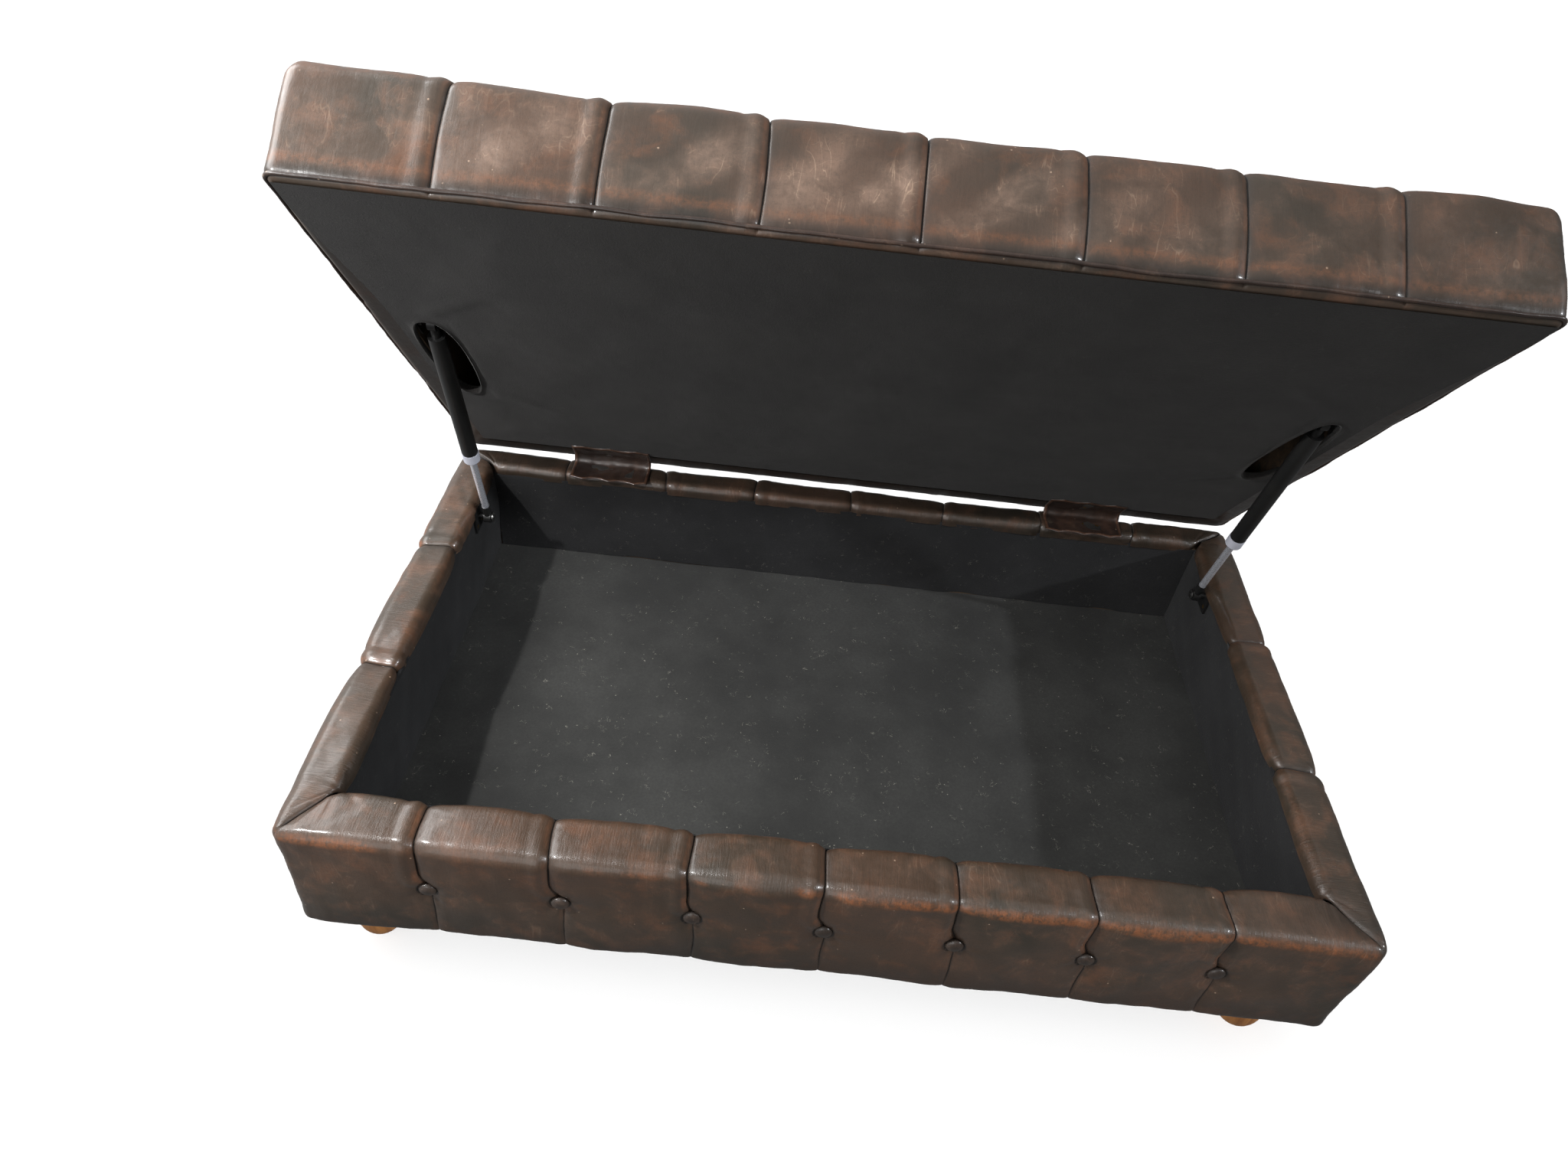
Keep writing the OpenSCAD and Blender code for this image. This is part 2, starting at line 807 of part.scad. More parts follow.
module left_rod() rod(-1);
module left_rod_end() rod_end(-1);
module left_clip() clip(-1);
module left_cylinder() strut_cylinder(-1);
module left_collar() collar(-1);
module left_cylinder_end() cylinder_end(-1);
module right_rod() rod(1);
module right_rod_end() rod_end(1);
module right_clip() clip(1);
module right_cylinder() strut_cylinder(1);
module right_collar() collar(1);
module right_cylinder_end() cylinder_end(1);

bottom_board();
front_board();
back_board();
left_board();
right_board();
front_pad();
back_pad();
left_pad();
right_pad();
front_cover();
back_cover();
left_cover();
right_cover();
base_buttons();
front_lining();
back_lining();
left_lining();
right_lining();
floor_lining();
base_dust_cover();
foot_front_left();
foot_front_right();
foot_back_left();
foot_back_right();
foot_bolts();
foot_glides();
hinge_base_leaves();
hinge_pins();
hinge_flaps_base();
strut_base_brackets();
base_screws();
lid_front_rail();
lid_back_rail();
lid_left_rail();
lid_right_rail();
lid_cross_rail();
lid_deck();
lid_foam();
lid_border();
lid_cover();
lid_piping();
lid_buttons();
lid_dust_cover();
hinge_lid_leaves();
hinge_flaps_lid();
strut_lid_brackets();
lid_screws();
left_rod();
left_rod_end();
left_clip();
left_cylinder();
left_collar();
left_cylinder_end();
right_rod();
right_rod_end();
right_clip();
right_cylinder();
right_collar();
right_cylinder_end();
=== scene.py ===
import json
import math
import bpy
import numpy as np
from mathutils import Matrix, Vector


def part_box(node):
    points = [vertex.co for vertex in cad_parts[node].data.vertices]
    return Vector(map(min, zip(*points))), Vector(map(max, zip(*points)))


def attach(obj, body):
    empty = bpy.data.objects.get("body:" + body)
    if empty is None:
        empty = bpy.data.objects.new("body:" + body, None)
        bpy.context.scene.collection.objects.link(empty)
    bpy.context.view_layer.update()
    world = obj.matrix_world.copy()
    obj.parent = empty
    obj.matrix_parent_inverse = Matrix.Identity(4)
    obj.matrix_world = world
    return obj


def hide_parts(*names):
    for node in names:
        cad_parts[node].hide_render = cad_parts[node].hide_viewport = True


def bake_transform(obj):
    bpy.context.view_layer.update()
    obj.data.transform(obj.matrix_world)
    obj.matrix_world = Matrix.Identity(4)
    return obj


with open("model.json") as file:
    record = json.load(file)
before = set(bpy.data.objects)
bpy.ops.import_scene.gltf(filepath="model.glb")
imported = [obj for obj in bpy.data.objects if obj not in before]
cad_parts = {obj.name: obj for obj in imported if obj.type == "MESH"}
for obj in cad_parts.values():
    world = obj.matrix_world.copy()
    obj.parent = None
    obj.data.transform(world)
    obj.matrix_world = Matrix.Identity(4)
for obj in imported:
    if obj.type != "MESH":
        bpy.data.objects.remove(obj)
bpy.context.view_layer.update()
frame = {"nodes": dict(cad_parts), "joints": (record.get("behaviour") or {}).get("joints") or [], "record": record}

MM = 0.001

# Places, in metres, read from the CAD nodes. The lid is worked on shut and turned open at the end.
X1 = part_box("front_cover")[1].x
Y0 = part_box("front_cover")[0].y
Y1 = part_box("back_cover")[1].y
BOX_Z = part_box("front_cover")[0].z
BOX_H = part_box("front_cover")[1].z - BOX_Z
HINGE = next(j for j in frame["joints"] if j["name"] == "lid_hinge")
PIVOT = Vector(HINGE["pos_m"])
OPEN = (Matrix.Translation(PIVOT) @ Matrix.Rotation(math.radians(-HINGE["range_deg"][1]), 4, "X")
        @ Matrix.Translation(-PIVOT))


def shut(node):
    """Lowest and highest corner of a lid node with the lid turned shut."""
    back = np.array(OPEN.inverted())
    co = np.array([v.co for v in frame["nodes"][node].data.vertices]) @ back[:3, :3].T + back[:3, 3]
    return Vector(co.min(0)), Vector(co.max(0))


LID_LO, LID_HI = shut("lid_cover")
LID_Z, LID_T = LID_LO.z, LID_HI.z - LID_LO.z
PITCH, SIDE_PITCH = 148.5 * MM, 227 * MM
RAIL = {"front": 67 * MM, "right": 58 * MM, "back": 48 * MM, "left": 58 * MM}
FLAP_X, FLAP_W = 371 * MM, 120 * MM


# ---------------------------------------------------------------- shaders

class Shader:
    """A node material. Calling it adds a node; inputs given as sockets are linked, others are set."""

    def __init__(self, name, **settings):
        self.material = bpy.data.materials.new(name)
        self.material.use_nodes = True
        self.tree = self.material.node_tree
        self.bsdf = self.tree.nodes["Principled BSDF"]
        for socket, value in settings.items():
            self.feed(self.bsdf, socket.replace("_", " "), value)
        self.place = self("TexCoord").outputs["Object"]

    def feed(self, node, socket, value):
        if isinstance(value, bpy.types.NodeSocket):
            self.tree.links.new(value, node.inputs[socket])
        else:
            node.inputs[socket].default_value = value

    def __call__(self, kind, inputs=None, **props):
        node = self.tree.nodes.new("ShaderNode" + kind)
        for k, v in props.items():
            setattr(node, k, v)
        for socket, value in (inputs or {}).items():
            self.feed(node, socket, value)
        return node

    def noise(self, scale, detail=3.0, rough=0.55, vector=None, distort=0.0):
        return self("TexNoise", {"Vector": vector or self.place, "Scale": scale, "Detail": detail,
                                 "Roughness": rough, "Distortion": distort}).outputs["Fac"]

    def stretched(self, source, scale, turn=0.0):
        return self("Mapping", {"Vector": source, "Scale": scale, "Rotation": (0, 0, turn)}).outputs["Vector"]

    def weight(self, name):
        return self("Attribute", attribute_name=name).outputs["Fac"]

    def ramp(self, value, low, high, a=0.0, b=1.0):
        return self("MapRange", {"Value": value, "From Min": low, "From Max": high, "To Min": a, "To Max": b},
                    interpolation_type="SMOOTHSTEP").outputs["Result"]

    def math(self, operation, a, b, clamp=False):
        node = self("Math", operation=operation, use_clamp=clamp)
        self.feed(node, 0, a)
        self.feed(node, 1, b)
        return node.outputs[0]

    def mix(self, share, a, b):
        node = self("Mix", data_type="RGBA")
        self.feed(node, 0, share)
        self.feed(node, 6, a)
        self.feed(node, 7, b)
        return node.outputs[2]

    def bump(self, height, distance, strength=1.0, below=None):
        inputs = {"Height": height, "Distance": distance, "Strength": strength}
        if below:
            inputs["Normal"] = below
        return self("Bump", inputs).outputs["Normal"]

    def finish(self, colour=None, rough=None, normal=None):
        for socket, value in (("Base Color", colour), ("Roughness", rough), ("Normal", normal)):
            if value is not None:
                self.feed(self.bsdf, socket, value)
        return self.material


def srgb(*c):
    """A linear colour from 0-255 display values."""
    return tuple((x / 255 / 12.92 if x <= 10 else ((x / 255 + 0.055) / 1.055) ** 2.4) for x in c) + (1.0,)


def leather(name, dark, mid, worn, tan):
    """Antiqued leather: broad shifts between browns, rubbed to orange on the edges and to tan by the weight
    rub, with pale scratches, specks, creases and pebble grain, and painted shade: dark by the weights shade
    and slit in the folds, gaps and grooves, and dark in the troughs of the creases."""
    s = Shader(name, Coat_Weight=0.4, Coat_Roughness=0.17, Specular_IOR_Level=0.5)
    uv = s("UVMap", uv_map="UVMap").outputs["UV"]
    slit, lip, wear, rub, shade, crease = map(s.weight, ("slit", "lip", "wear", "rub", "shade", "crease"))
    broad = s.noise(5.5, 3, 0.5)
    patch = s.noise(26, 5, 0.6, distort=0.4)
    grain = s.noise(330, 4, 0.65)
    speckle = s.noise(140, 3, 0.7)
    along = s.noise(1.0, 6, 0.65, s.stretched(uv, (330, 34, 1), 0.14), 0.8)
    slant = s.noise(1.0, 5, 0.65, s.stretched(uv, (90, 14, 1), 0.75), 1.2)
    colour = s.mix(s.ramp(broad, 0.25, 0.7), dark, mid)
    colour = s.mix(s.ramp(patch, 0.45, 0.75, 0, 0.3), colour, worn)
    colour = s.mix(s.math("MULTIPLY", rub, s.ramp(patch, 0.3, 0.65, 0.25, 0.95)), colour, tan)
    edge = s.math("MULTIPLY", s.ramp(wear, 0.1, 0.95), s.ramp(speckle, 0.35, 0.6, 0.15, 0.85))
    colour = s.mix(edge, colour, worn)
    rolled = s.math("MULTIPLY", s.ramp(lip, 0.1, 1.0), s.ramp(patch, 0.35, 0.65, 0.08, 0.35))
    colour = s.mix(rolled, colour, worn)
    scratch = 0.0
    for scale, turn, strength in (((30, 7, 1), 0.45, 0.8), ((52, 10, 1), -0.5, 0.6),
                                  ((24, 40, 1), 0.2, 0.45)):
        contour = s.noise(1.0, 2, 0.5, s.stretched(uv, scale, turn), 0.5)
        contour = s.math("ABSOLUTE", s.math("SUBTRACT", contour, 0.5), 0.0)
        scratch = s.math("MAXIMUM", s.ramp(contour, 0.007, 0.0, 0.0, strength), scratch)
    scratch = s.math("MULTIPLY", scratch, s.ramp(patch, 0.45, 0.62))
    colour = s.mix(s.math("MULTIPLY", scratch, s.math("ADD", s.math("MULTIPLY", rub, 0.85), 0.05)), colour,
                   srgb(196, 168, 142))
    # Painted shade: darker in the troughs of the crease bumps.
    colour = s.mix(s.math("MULTIPLY", crease, s.ramp(along, 0.35, 0.7, 0.4, 0.0)), colour, dark)
    dots = s("TexVoronoi", {"Vector": s.place, "Scale": 75.0})
    spot = s.math("MULTIPLY", s.ramp(dots.outputs["Distance"], 0.1, 0.05),
                  s.ramp(s.noise(60, 1, 0.5), 0.56, 0.6))
    colour = s.mix(s.math("MULTIPLY", spot, 0.7), colour, srgb(176, 150, 128))
    colour = s.mix(s.ramp(grain, 0.45, 0.75, 0, 0.3), colour, dark)
    # Painted shade: shade darkens folds, dimples, mitres, lower faces and undersides; slit paints near-black shade
    # into pleat gaps, button rims and seam grooves.
    colour = s.mix(s.ramp(shade, 0.0, 1.0, 0, 0.8), colour, srgb(32, 28, 25))
    colour = s.mix(s.ramp(slit, 0.15, 0.8, 0, 0.96), colour, srgb(10, 8, 7))
    rough = s.ramp(patch, 0.3, 0.7, 0.3, 0.44)
    rough = s.math("ADD", rough, s.ramp(speckle, 0.3, 0.7, -0.04, 0.07))
    rough = s.math("ADD", rough, s.math("MULTIPLY", rub, 0.12))
    rough = s.math("ADD", rough, s.ramp(slit, 0.1, 0.8, 0.0, 0.4), True)
    pebble = s("TexVoronoi", {"Vector": s.place, "Scale": 620, "Randomness": 1.0},
               feature="SMOOTH_F1").outputs["Distance"]
    normal = s.bump(pebble, 0.00012, 0.4)
    normal = s.bump(grain, 0.0003, 0.3, normal)
    normal = s.bump(s.math("MULTIPLY", along, s.math("ADD", crease, 0.12)), 0.0016, 0.6, normal)
    normal = s.bump(slant, 0.0012, 0.3, normal)
    return s.finish(colour, rough, normal)


def cloth(name, dark, light, thread=1500, lint=0.0):
    """Matt felt or woven cloth, with a fine thread, soft blotches and, where asked, pale hairs of lint."""
    s = Shader(name, Sheen_Weight=0.12, Sheen_Roughness=0.5, Specular_IOR_Level=0.15)
    fine = s.noise(thread, 2, 0.6)
    clump = s.noise(thread / 5, 4, 0.7)
    blotch = s.noise(7, 5, 0.6)
    colour = s.mix(s.ramp(blotch, 0.3, 0.72), dark, light)
    colour = s.mix(s.ramp(fine, 0.35, 0.75, 0, 0.5), colour, light)
    colour = s.mix(s.ramp(clump, 0.35, 0.7, 0.35, 0.0), colour, dark)
    if lint:
        hair = s.math("ABSOLUTE", s.math("SUBTRACT", s.noise(55, 1.5, 0.5, distort=2.5), 0.5), 0.0)
        hair = s.math("MULTIPLY", s.ramp(hair, 0.010, 0.0), s.ramp(s.noise(75, 2, 0.5), 0.6, 0.66))
        dots = s("TexVoronoi", {"Vector": s.place, "Scale": 90.0}).outputs["Distance"]
        speck = s.math("MULTIPLY", s.ramp(dots, 0.1, 0.04), s.ramp(s.noise(40, 1, 0.5), 0.55, 0.6))
        colour = s.mix(s.math("MULTIPLY", s.math("MAXIMUM", hair, speck), lint), colour, srgb(150, 146, 136))
    normal = s.bump(fine, 0.0004, 0.5)
    normal = s.bump(clump, 0.0007, 0.4, normal)
    return s.finish(colour, 0.93, normal)


def wood(name, light, dark, rough, axis):
    """Wood with its grain along an axis; smooth wood is varnished."""
    s = Shader(name, Coat_Weight=0.2 if rough < 0.5 else 0.0)
    scale = [60.0, 60.0, 60.0]
    scale[axis] = 5.0
    rings = s.noise(1.0, 6, 0.6, s.stretched(s.place, scale), 1.2)
    pores = s.noise(9.0, 3, 0.6, s.stretched(s.place, scale))
    colour = s.mix(s.ramp(rings, 0.3, 0.7), dark, light)
    colour = s.mix(s.ramp(pores, 0.55, 0.75, 0, 0.45), colour, dark)
    return s.finish(colour, s.ramp(rings, 0.2, 0.8, rough, rough + 0.14), s.bump(pores, 0.0003, 0.5))


def metal(name, tint, dull, rough, marks=0.3, metallic=1.0):
    """Metal, or paint and plastic with metallic 0, with smears of colour and fine roughness."""
    s = Shader(name, Metallic=metallic)
    smear, fine = s.noise(22, 4, 0.6), s.noise(400.0, 3, 0.6)
    colour = s.mix(s.ramp(smear, 0.35, 0.75, 0, marks), tint, dull)
    return s.finish(colour, s.ramp(fine, 0.2, 0.8, rough, rough + 0.12), s.bump(fine, 0.00008, 0.5))


def foam(name):
    """Yellowish open-cell foam."""
    s = Shader(name)
    cells = s("TexVoronoi", {"Vector": s.place, "Scale": 700}).outputs["Distance"]
    return s.finish(s.mix(s.ramp(cells, 0.1, 0.7), srgb(150, 130, 90), srgb(228, 214, 165)), 0.9,
                    s.bump(cells, 0.0006, 0.8))


FINISH = {
    "leather": leather("leather", srgb(52, 48, 40), srgb(80, 60, 47), srgb(138, 84, 50), srgb(136, 112, 96)),
    "leather_trim": leather("leather_trim", srgb(34, 27, 24), srgb(56, 41, 34), srgb(104, 72, 54),
                            srgb(126, 102, 86)),
    "button_leather": leather("button_leather", srgb(34, 29, 26), srgb(56, 47, 41), srgb(78, 62, 52),
                              srgb(120, 100, 86)),
    "felt": cloth("felt", srgb(27, 27, 28), srgb(42, 42, 43), lint=0.3),
    "dust_cloth": cloth("dust_cloth", srgb(35, 33, 32), srgb(50, 48, 46), thread=1900, lint=0.1),
    "foam": foam("foam"),
    # The frame's timber is dark brown: painted shade, for pale wood only seen in the shade inside the cover.
    "timber": wood("timber", srgb(92, 74, 56), srgb(58, 46, 36), 0.7, 0),
    "foot_wood": wood("foot_wood", srgb(186, 128, 70), srgb(142, 88, 44), 0.45, 2),
    "zinc_steel": metal("zinc_steel", srgb(150, 150, 148), srgb(90, 90, 88), 0.35),
    # The rod is a quarter non-metal white so it reads bright: painted reflection of the bright surroundings a
    # chrome rod would mirror.
    "rod_chrome": metal("rod_chrome", srgb(244, 246, 255), srgb(210, 214, 226), 0.24, marks=0.15,
                        metallic=0.75),
    "black_paint": metal("black_paint", srgb(26, 26, 26), srgb(44, 43, 41), 0.32, metallic=0.0),
    "strut_label": metal("strut_label", srgb(214, 216, 228), srgb(190, 192, 204), 0.4, metallic=0.2),
    "brass_screws": metal("brass_screws", srgb(170, 140, 84), srgb(110, 86, 48), 0.3),
    "glide_plastic": metal("glide_plastic", srgb(28, 28, 28), srgb(46, 46, 46), 0.5, metallic=0.0),
}
# The tub floor's felt is lighter than the walls' felt: partly painted light, for the brighter light on the floor,
# and partly pale lint.
FLOOR_FELT = cloth("floor_felt", srgb(44, 44, 43), srgb(66, 66, 64), lint=0.75)

for part in frame["record"]["subparts"]:
    node = frame["nodes"][part["node"]]
    node.data.materials.clear()
    node.data.materials.append(FINISH[part["material_slot"]])


# ---------------------------------------------------------------- mesh helpers

def outline(x, y0, y1):
    """Each side of a plan, anticlockwise: its first corner, the way along it, the way in, and its length."""
    return {"front": ((-x, y0), (1, 0), (0, 1), 2 * x), "right": ((x, y0), (0, 1), (-1, 0), y1 - y0),
            "back": ((x, y1), (-1, 0), (0, -1), 2 * x), "left": ((-x, y1), (0, -1), (1, 0), y1 - y0)}


BOX_SIDES = outline(X1, Y0, Y1)
LID_SIDES = outline(LID_HI.x, LID_LO.y, LID_HI.y)
ORDER = list(BOX_SIDES)
UP = np.array([0, 0, 1.0])
MITRE_ZONE = 100 * MM  # the columns of a side close up towards its mitres within this distance of its ends
WELD = 0.02 * MM


class Wobble:
    """Smooth seeded noise: sums of sines in seven directions for each (wavelength, height)."""

    def __init__(self, seed, *octaves):
        rng = np.random.default_rng(seed)
        self.waves = []
        for length, height in octaves:
            way = rng.normal(size=(7, 3))
            way /= np.linalg.norm(way, axis=1)[:, None]
            self.waves.append((way * 2 * np.pi / length * rng.uniform(0.7, 1.5, (7, 1)),
                               rng.uniform(0, 6.3, 7), height / 2))

    def __call__(self, p):
        return sum(h * np.sin(p @ k.T + phase).sum(-1) for k, phase, h in self.waves)


def bell(x, width):
    """1 at x = 0, falling off to both sides."""
    return np.exp(-(x / width) ** 2)


def ease(x, low, high):
    """0 up to low, 1 from high on, smooth between."""
    t = np.clip((x - low) / (high - low), 0, 1)
    return t * t * (3 - 2 * t)


class Skin:
    """Grid patches welded where their flat places meet, with a UV per corner and named weights."""

    def __init__(self):
        self.base, self.co, self.uv, self.quads, self.weights, self.count = [], [], [], [], {}, 0

    def patch(self, base, co, uv, weights=None, keep=None, flip=False):
        rows, cols = base.shape[:2]
        ids = self.count + np.arange(rows * cols).reshape(rows, cols)
        quads = np.stack([ids[:-1, :-1], ids[:-1, 1:], ids[1:, 1:], ids[1:, :-1]], -1)
        quads = (quads[keep] if keep is not None else quads).reshape(-1, 4)
        self.quads.append(quads[:, ::-1] if flip else quads)
        for store, value in ((self.base, base), (self.co, co)):
            store.append(value.reshape(-1, 3))
        self.uv.append(uv.reshape(-1, 2))
        for k, v in (weights or {}).items():
            self.weights.setdefault(k, []).append((self.count, np.broadcast_to(v, (rows, cols)).ravel()))
        self.count += rows * cols

    def build(self, name, slot, turn=None, material=None):
        base, co, quads = (np.concatenate(x) for x in (self.base, self.co, self.quads))
        key = np.round(base / WELD).astype(np.int64)
        _, first, inverse = np.unique(key, axis=0, return_index=True, return_inverse=True)
        inverse = inverse.ravel()
        n = len(first)
        share = np.bincount(inverse, minlength=n)
        merged = np.stack([np.bincount(inverse, co[:, i], n) / share for i in range(3)], -1)
        used = np.zeros(n, bool)
        used[inverse[quads]] = True
        renumber = np.cumsum(used) - 1
        values = {}
        for k, parts in self.weights.items():
            whole = np.zeros(len(co))
            for start, v in parts:
                whole[start:start + len(v)] = v
            values[k] = (np.bincount(inverse, whole, n) / share)[used]
        return piece(name, slot, merged[used], renumber[inverse[quads]], np.concatenate(self.uv)[quads],
                     values, turn, material)


def piece(name, slot, co, faces, uv, weights, turn=None, material=None):
    """A smooth mesh object in the row frame. turn moves it first; uv is one pair per face corner."""
    if turn is not None:
        m = np.array(turn)
        co = co @ m[:3, :3].T + m[:3, 3]
    mesh = bpy.data.meshes.new(name)
    mesh.from_pydata(co.tolist(), [], [list(f) for f in faces])
    mesh.uv_layers.new(name="UVMap").data.foreach_set("uv", np.asarray(uv, float).ravel())
    for k, v in weights.items():
        mesh.attributes.new(k, "FLOAT", "POINT").data.foreach_set("value", np.asarray(v, np.float32))
    mesh.polygons.foreach_set("use_smooth", [True] * len(mesh.polygons))
    mesh.materials.append(material or FINISH[slot])
    obj = bpy.data.objects.new(name, mesh)
    bpy.context.scene.collection.objects.link(obj)
    return obj


def columns(length, lines, fine=0.9 * MM, wide=4.4 * MM, corner=2.2 * MM):
    """Places along a side, close together at its ends and round each line."""
    fine_step = 0.1 * MM
    s = np.linspace(0, length, int(length / fine_step) + 1)
    gap = np.min([np.abs(s - c) for c in lines], axis=0)
    step = fine + (wide - fine) * ease(gap, 9 * MM, 30 * MM)
    end = np.minimum(s, length - s)
    step = np.minimum(step, corner + (wide - corner) * ease(end, 12 * MM, 40 * MM))
    total = np.concatenate([[0], np.cumsum(fine_step / step[1:])])
    count = int(math.ceil(total[-1]))
    return np.interp(np.linspace(0, total[-1], count + 1), total, s)


def straight(a, b, n, normal):
    """A straight stroke of a section, n steps long: rows of distance in, height, normal out, normal up."""
    t = np.linspace(0, 1, n + 1)[:, None]
    return np.hstack([np.array(a) * (1 - t) + np.array(b) * t, np.tile(normal, (n + 1, 1))])


def arc(centre, r, start, stop, n):
    """A round stroke of a section; 0 degrees points outward and 90 up."""
    t = np.radians(np.linspace(start, stop, n + 1))
    return np.stack([centre[0] - r * np.cos(t), centre[1] + r * np.sin(t), np.cos(t), np.sin(t)], -1)


def joined(strokes):
    """Rows (distance in, height, normal out, normal up, length so far) and the first row of each stroke."""
    rows, starts = [strokes[0]], [0]
    for s in strokes[1:]:
        starts.append(sum(len(r) for r in rows) - 1)
        rows.append(s[1:])
    rows = np.concatenate(rows)
    run = np.concatenate([[0], np.cumsum(np.linalg.norm(np.diff(rows[:, :2], axis=0), axis=1))])
    return np.hstack([rows, run[:, None]]), starts


def swept(plan, cols, rows, start_in, end_in, round_r, floor):
    """A section swept along one side between its two mitres: places, outward normals, the tangent up the
    section, the direction along, and the distance along the side."""
    zone = MITRE_ZONE
    corner, along, inward, length = plan
    d, z, out, up = (rows[:, i:i + 1] for i in range(4))
    a, b = start_in[:, None], end_in[:, None]
    s = np.broadcast_to(cols[None, :], (len(rows), len(cols)))
    at = np.where(s < zone, a + s * (zone - a) / zone, s)
    at = np.where(s > length - zone, length - b - (length - s) * (zone - b) / zone, at)
    r = np.maximum(round_r - d, 0) * np.ones_like(at)
    place, depth, turn = at.copy(), d * np.ones_like(at), np.zeros_like(at)
    for near, sign in ((at - a, -1), (length - b - at, 1)):
        bent = near < r
        phi = math.pi / 4 * (1 - near / np.maximum(r, 1e-9))
        edge = r - r * np.sin(phi)
        place = np.where(bent, a + edge if sign < 0 else length - b - edge, place)
        depth = np.where(bent, d + r - r * np.cos(phi), depth)
        turn = np.where(bent, sign * phi, turn)
    al, inw = np.array([*along, 0.0]), np.array([*inward, 0.0])
    p = (np.array([*corner, floor]) + place[..., None] * al + depth[..., None] * inw
         + (z * np.ones_like(at))[..., None] * UP)
    level = np.sin(turn)[..., None] * al - np.cos(turn)[..., None] * inw
    normal = out[..., None] * level + up[..., None] * UP
    tangent = -up[..., None] * level + out[..., None] * UP
    return p, normal, tangent, al, place


def fold(t, strength, roll=1.0, wide=1.0):
    """Across a pleat at distance t right of its slit: height, sideways shift, and its weights. The leather
    rolls up on the left and tucks under, and comes out flat on the right. wide spreads the slit itself."""
    m = t / MM
    left = roll * (2.2 * bell(m + 11, 7.5) - 0.8 * bell(m + 24, 3)) - 5.4 * np.exp(-np.abs(m) / 1.9 / wide)
    right = -2.4 * np.exp(-np.abs(m) / wide) - 2.6 * np.exp(-np.abs(m) / 5)
    height = np.where(m < 0, left, right) * MM * strength
    shift = (1.5 * bell(m + 1.9, 1.6) - 0.3 * bell(m, 1)) * MM * strength
    # Painted shade: dark beside the slit, longer on its flat right side; slit paints near-black shade into the
    # pleat's gap.
    dark = np.where(m < 0, 0.35 * np.exp(-np.abs(m) / 2), 0.8 * np.exp(-np.abs(m) / 9))
    limit = np.minimum(strength, 1)
    return height, shift, {"slit": bell(m - 0.2, 1.15 * wide) * np.clip(strength * 1.6, 0, 1),
                           "lip": bell(m + 4, 2.4) * limit, "shade": dark * limit}


def deepen(weights, more):
    """Keeps the larger of each weight."""
    for k, v in more.items():
        weights[k] = np.maximum(weights.get(k, 0), v)


# ---------------------------------------------------------------- box covers

BOX_ROUND, RIDGE, INNER, LOW = 15 * MM, 17 * MM, 13 * MM, 11 * MM
BUTTON_Z = BOX_H / 2 + 3 * MM


def cover_rows(w):
    """Section of a box cover over a rail w wide: under the box, up its face, over the rail, into the tub."""
    return joined([
        straight((0.045, 0), (LOW, 0), 4, (0, -1)),
        arc((LOW, LOW), LOW, -90, 0, 6),
        straight((0, LOW), (0, BOX_H - RIDGE), 40, (1, 0)),
        arc((RIDGE, BOX_H - RIDGE), RIDGE, 0, 90, 12),
        straight((RIDGE, BOX_H), (w - INNER, BOX_H), 13, (0, 1)),
        arc((w - INNER, BOX_H - INNER), INNER, 90, 180, 8),
        straight((w, BOX_H - INNER), (w, BOX_H - 20 * MM), 3, (-1, 0)),
    ])


def pleat_lines(side, length):
    """Where the buttons and pleats stand along a side."""
    if side in ("front", "back"):
        return [length / 2 + k * PITCH for k in range(-3, 4)]
    return [length / 2 - SIDE_PITCH / 2, length / 2 + SIDE_PITCH / 2]


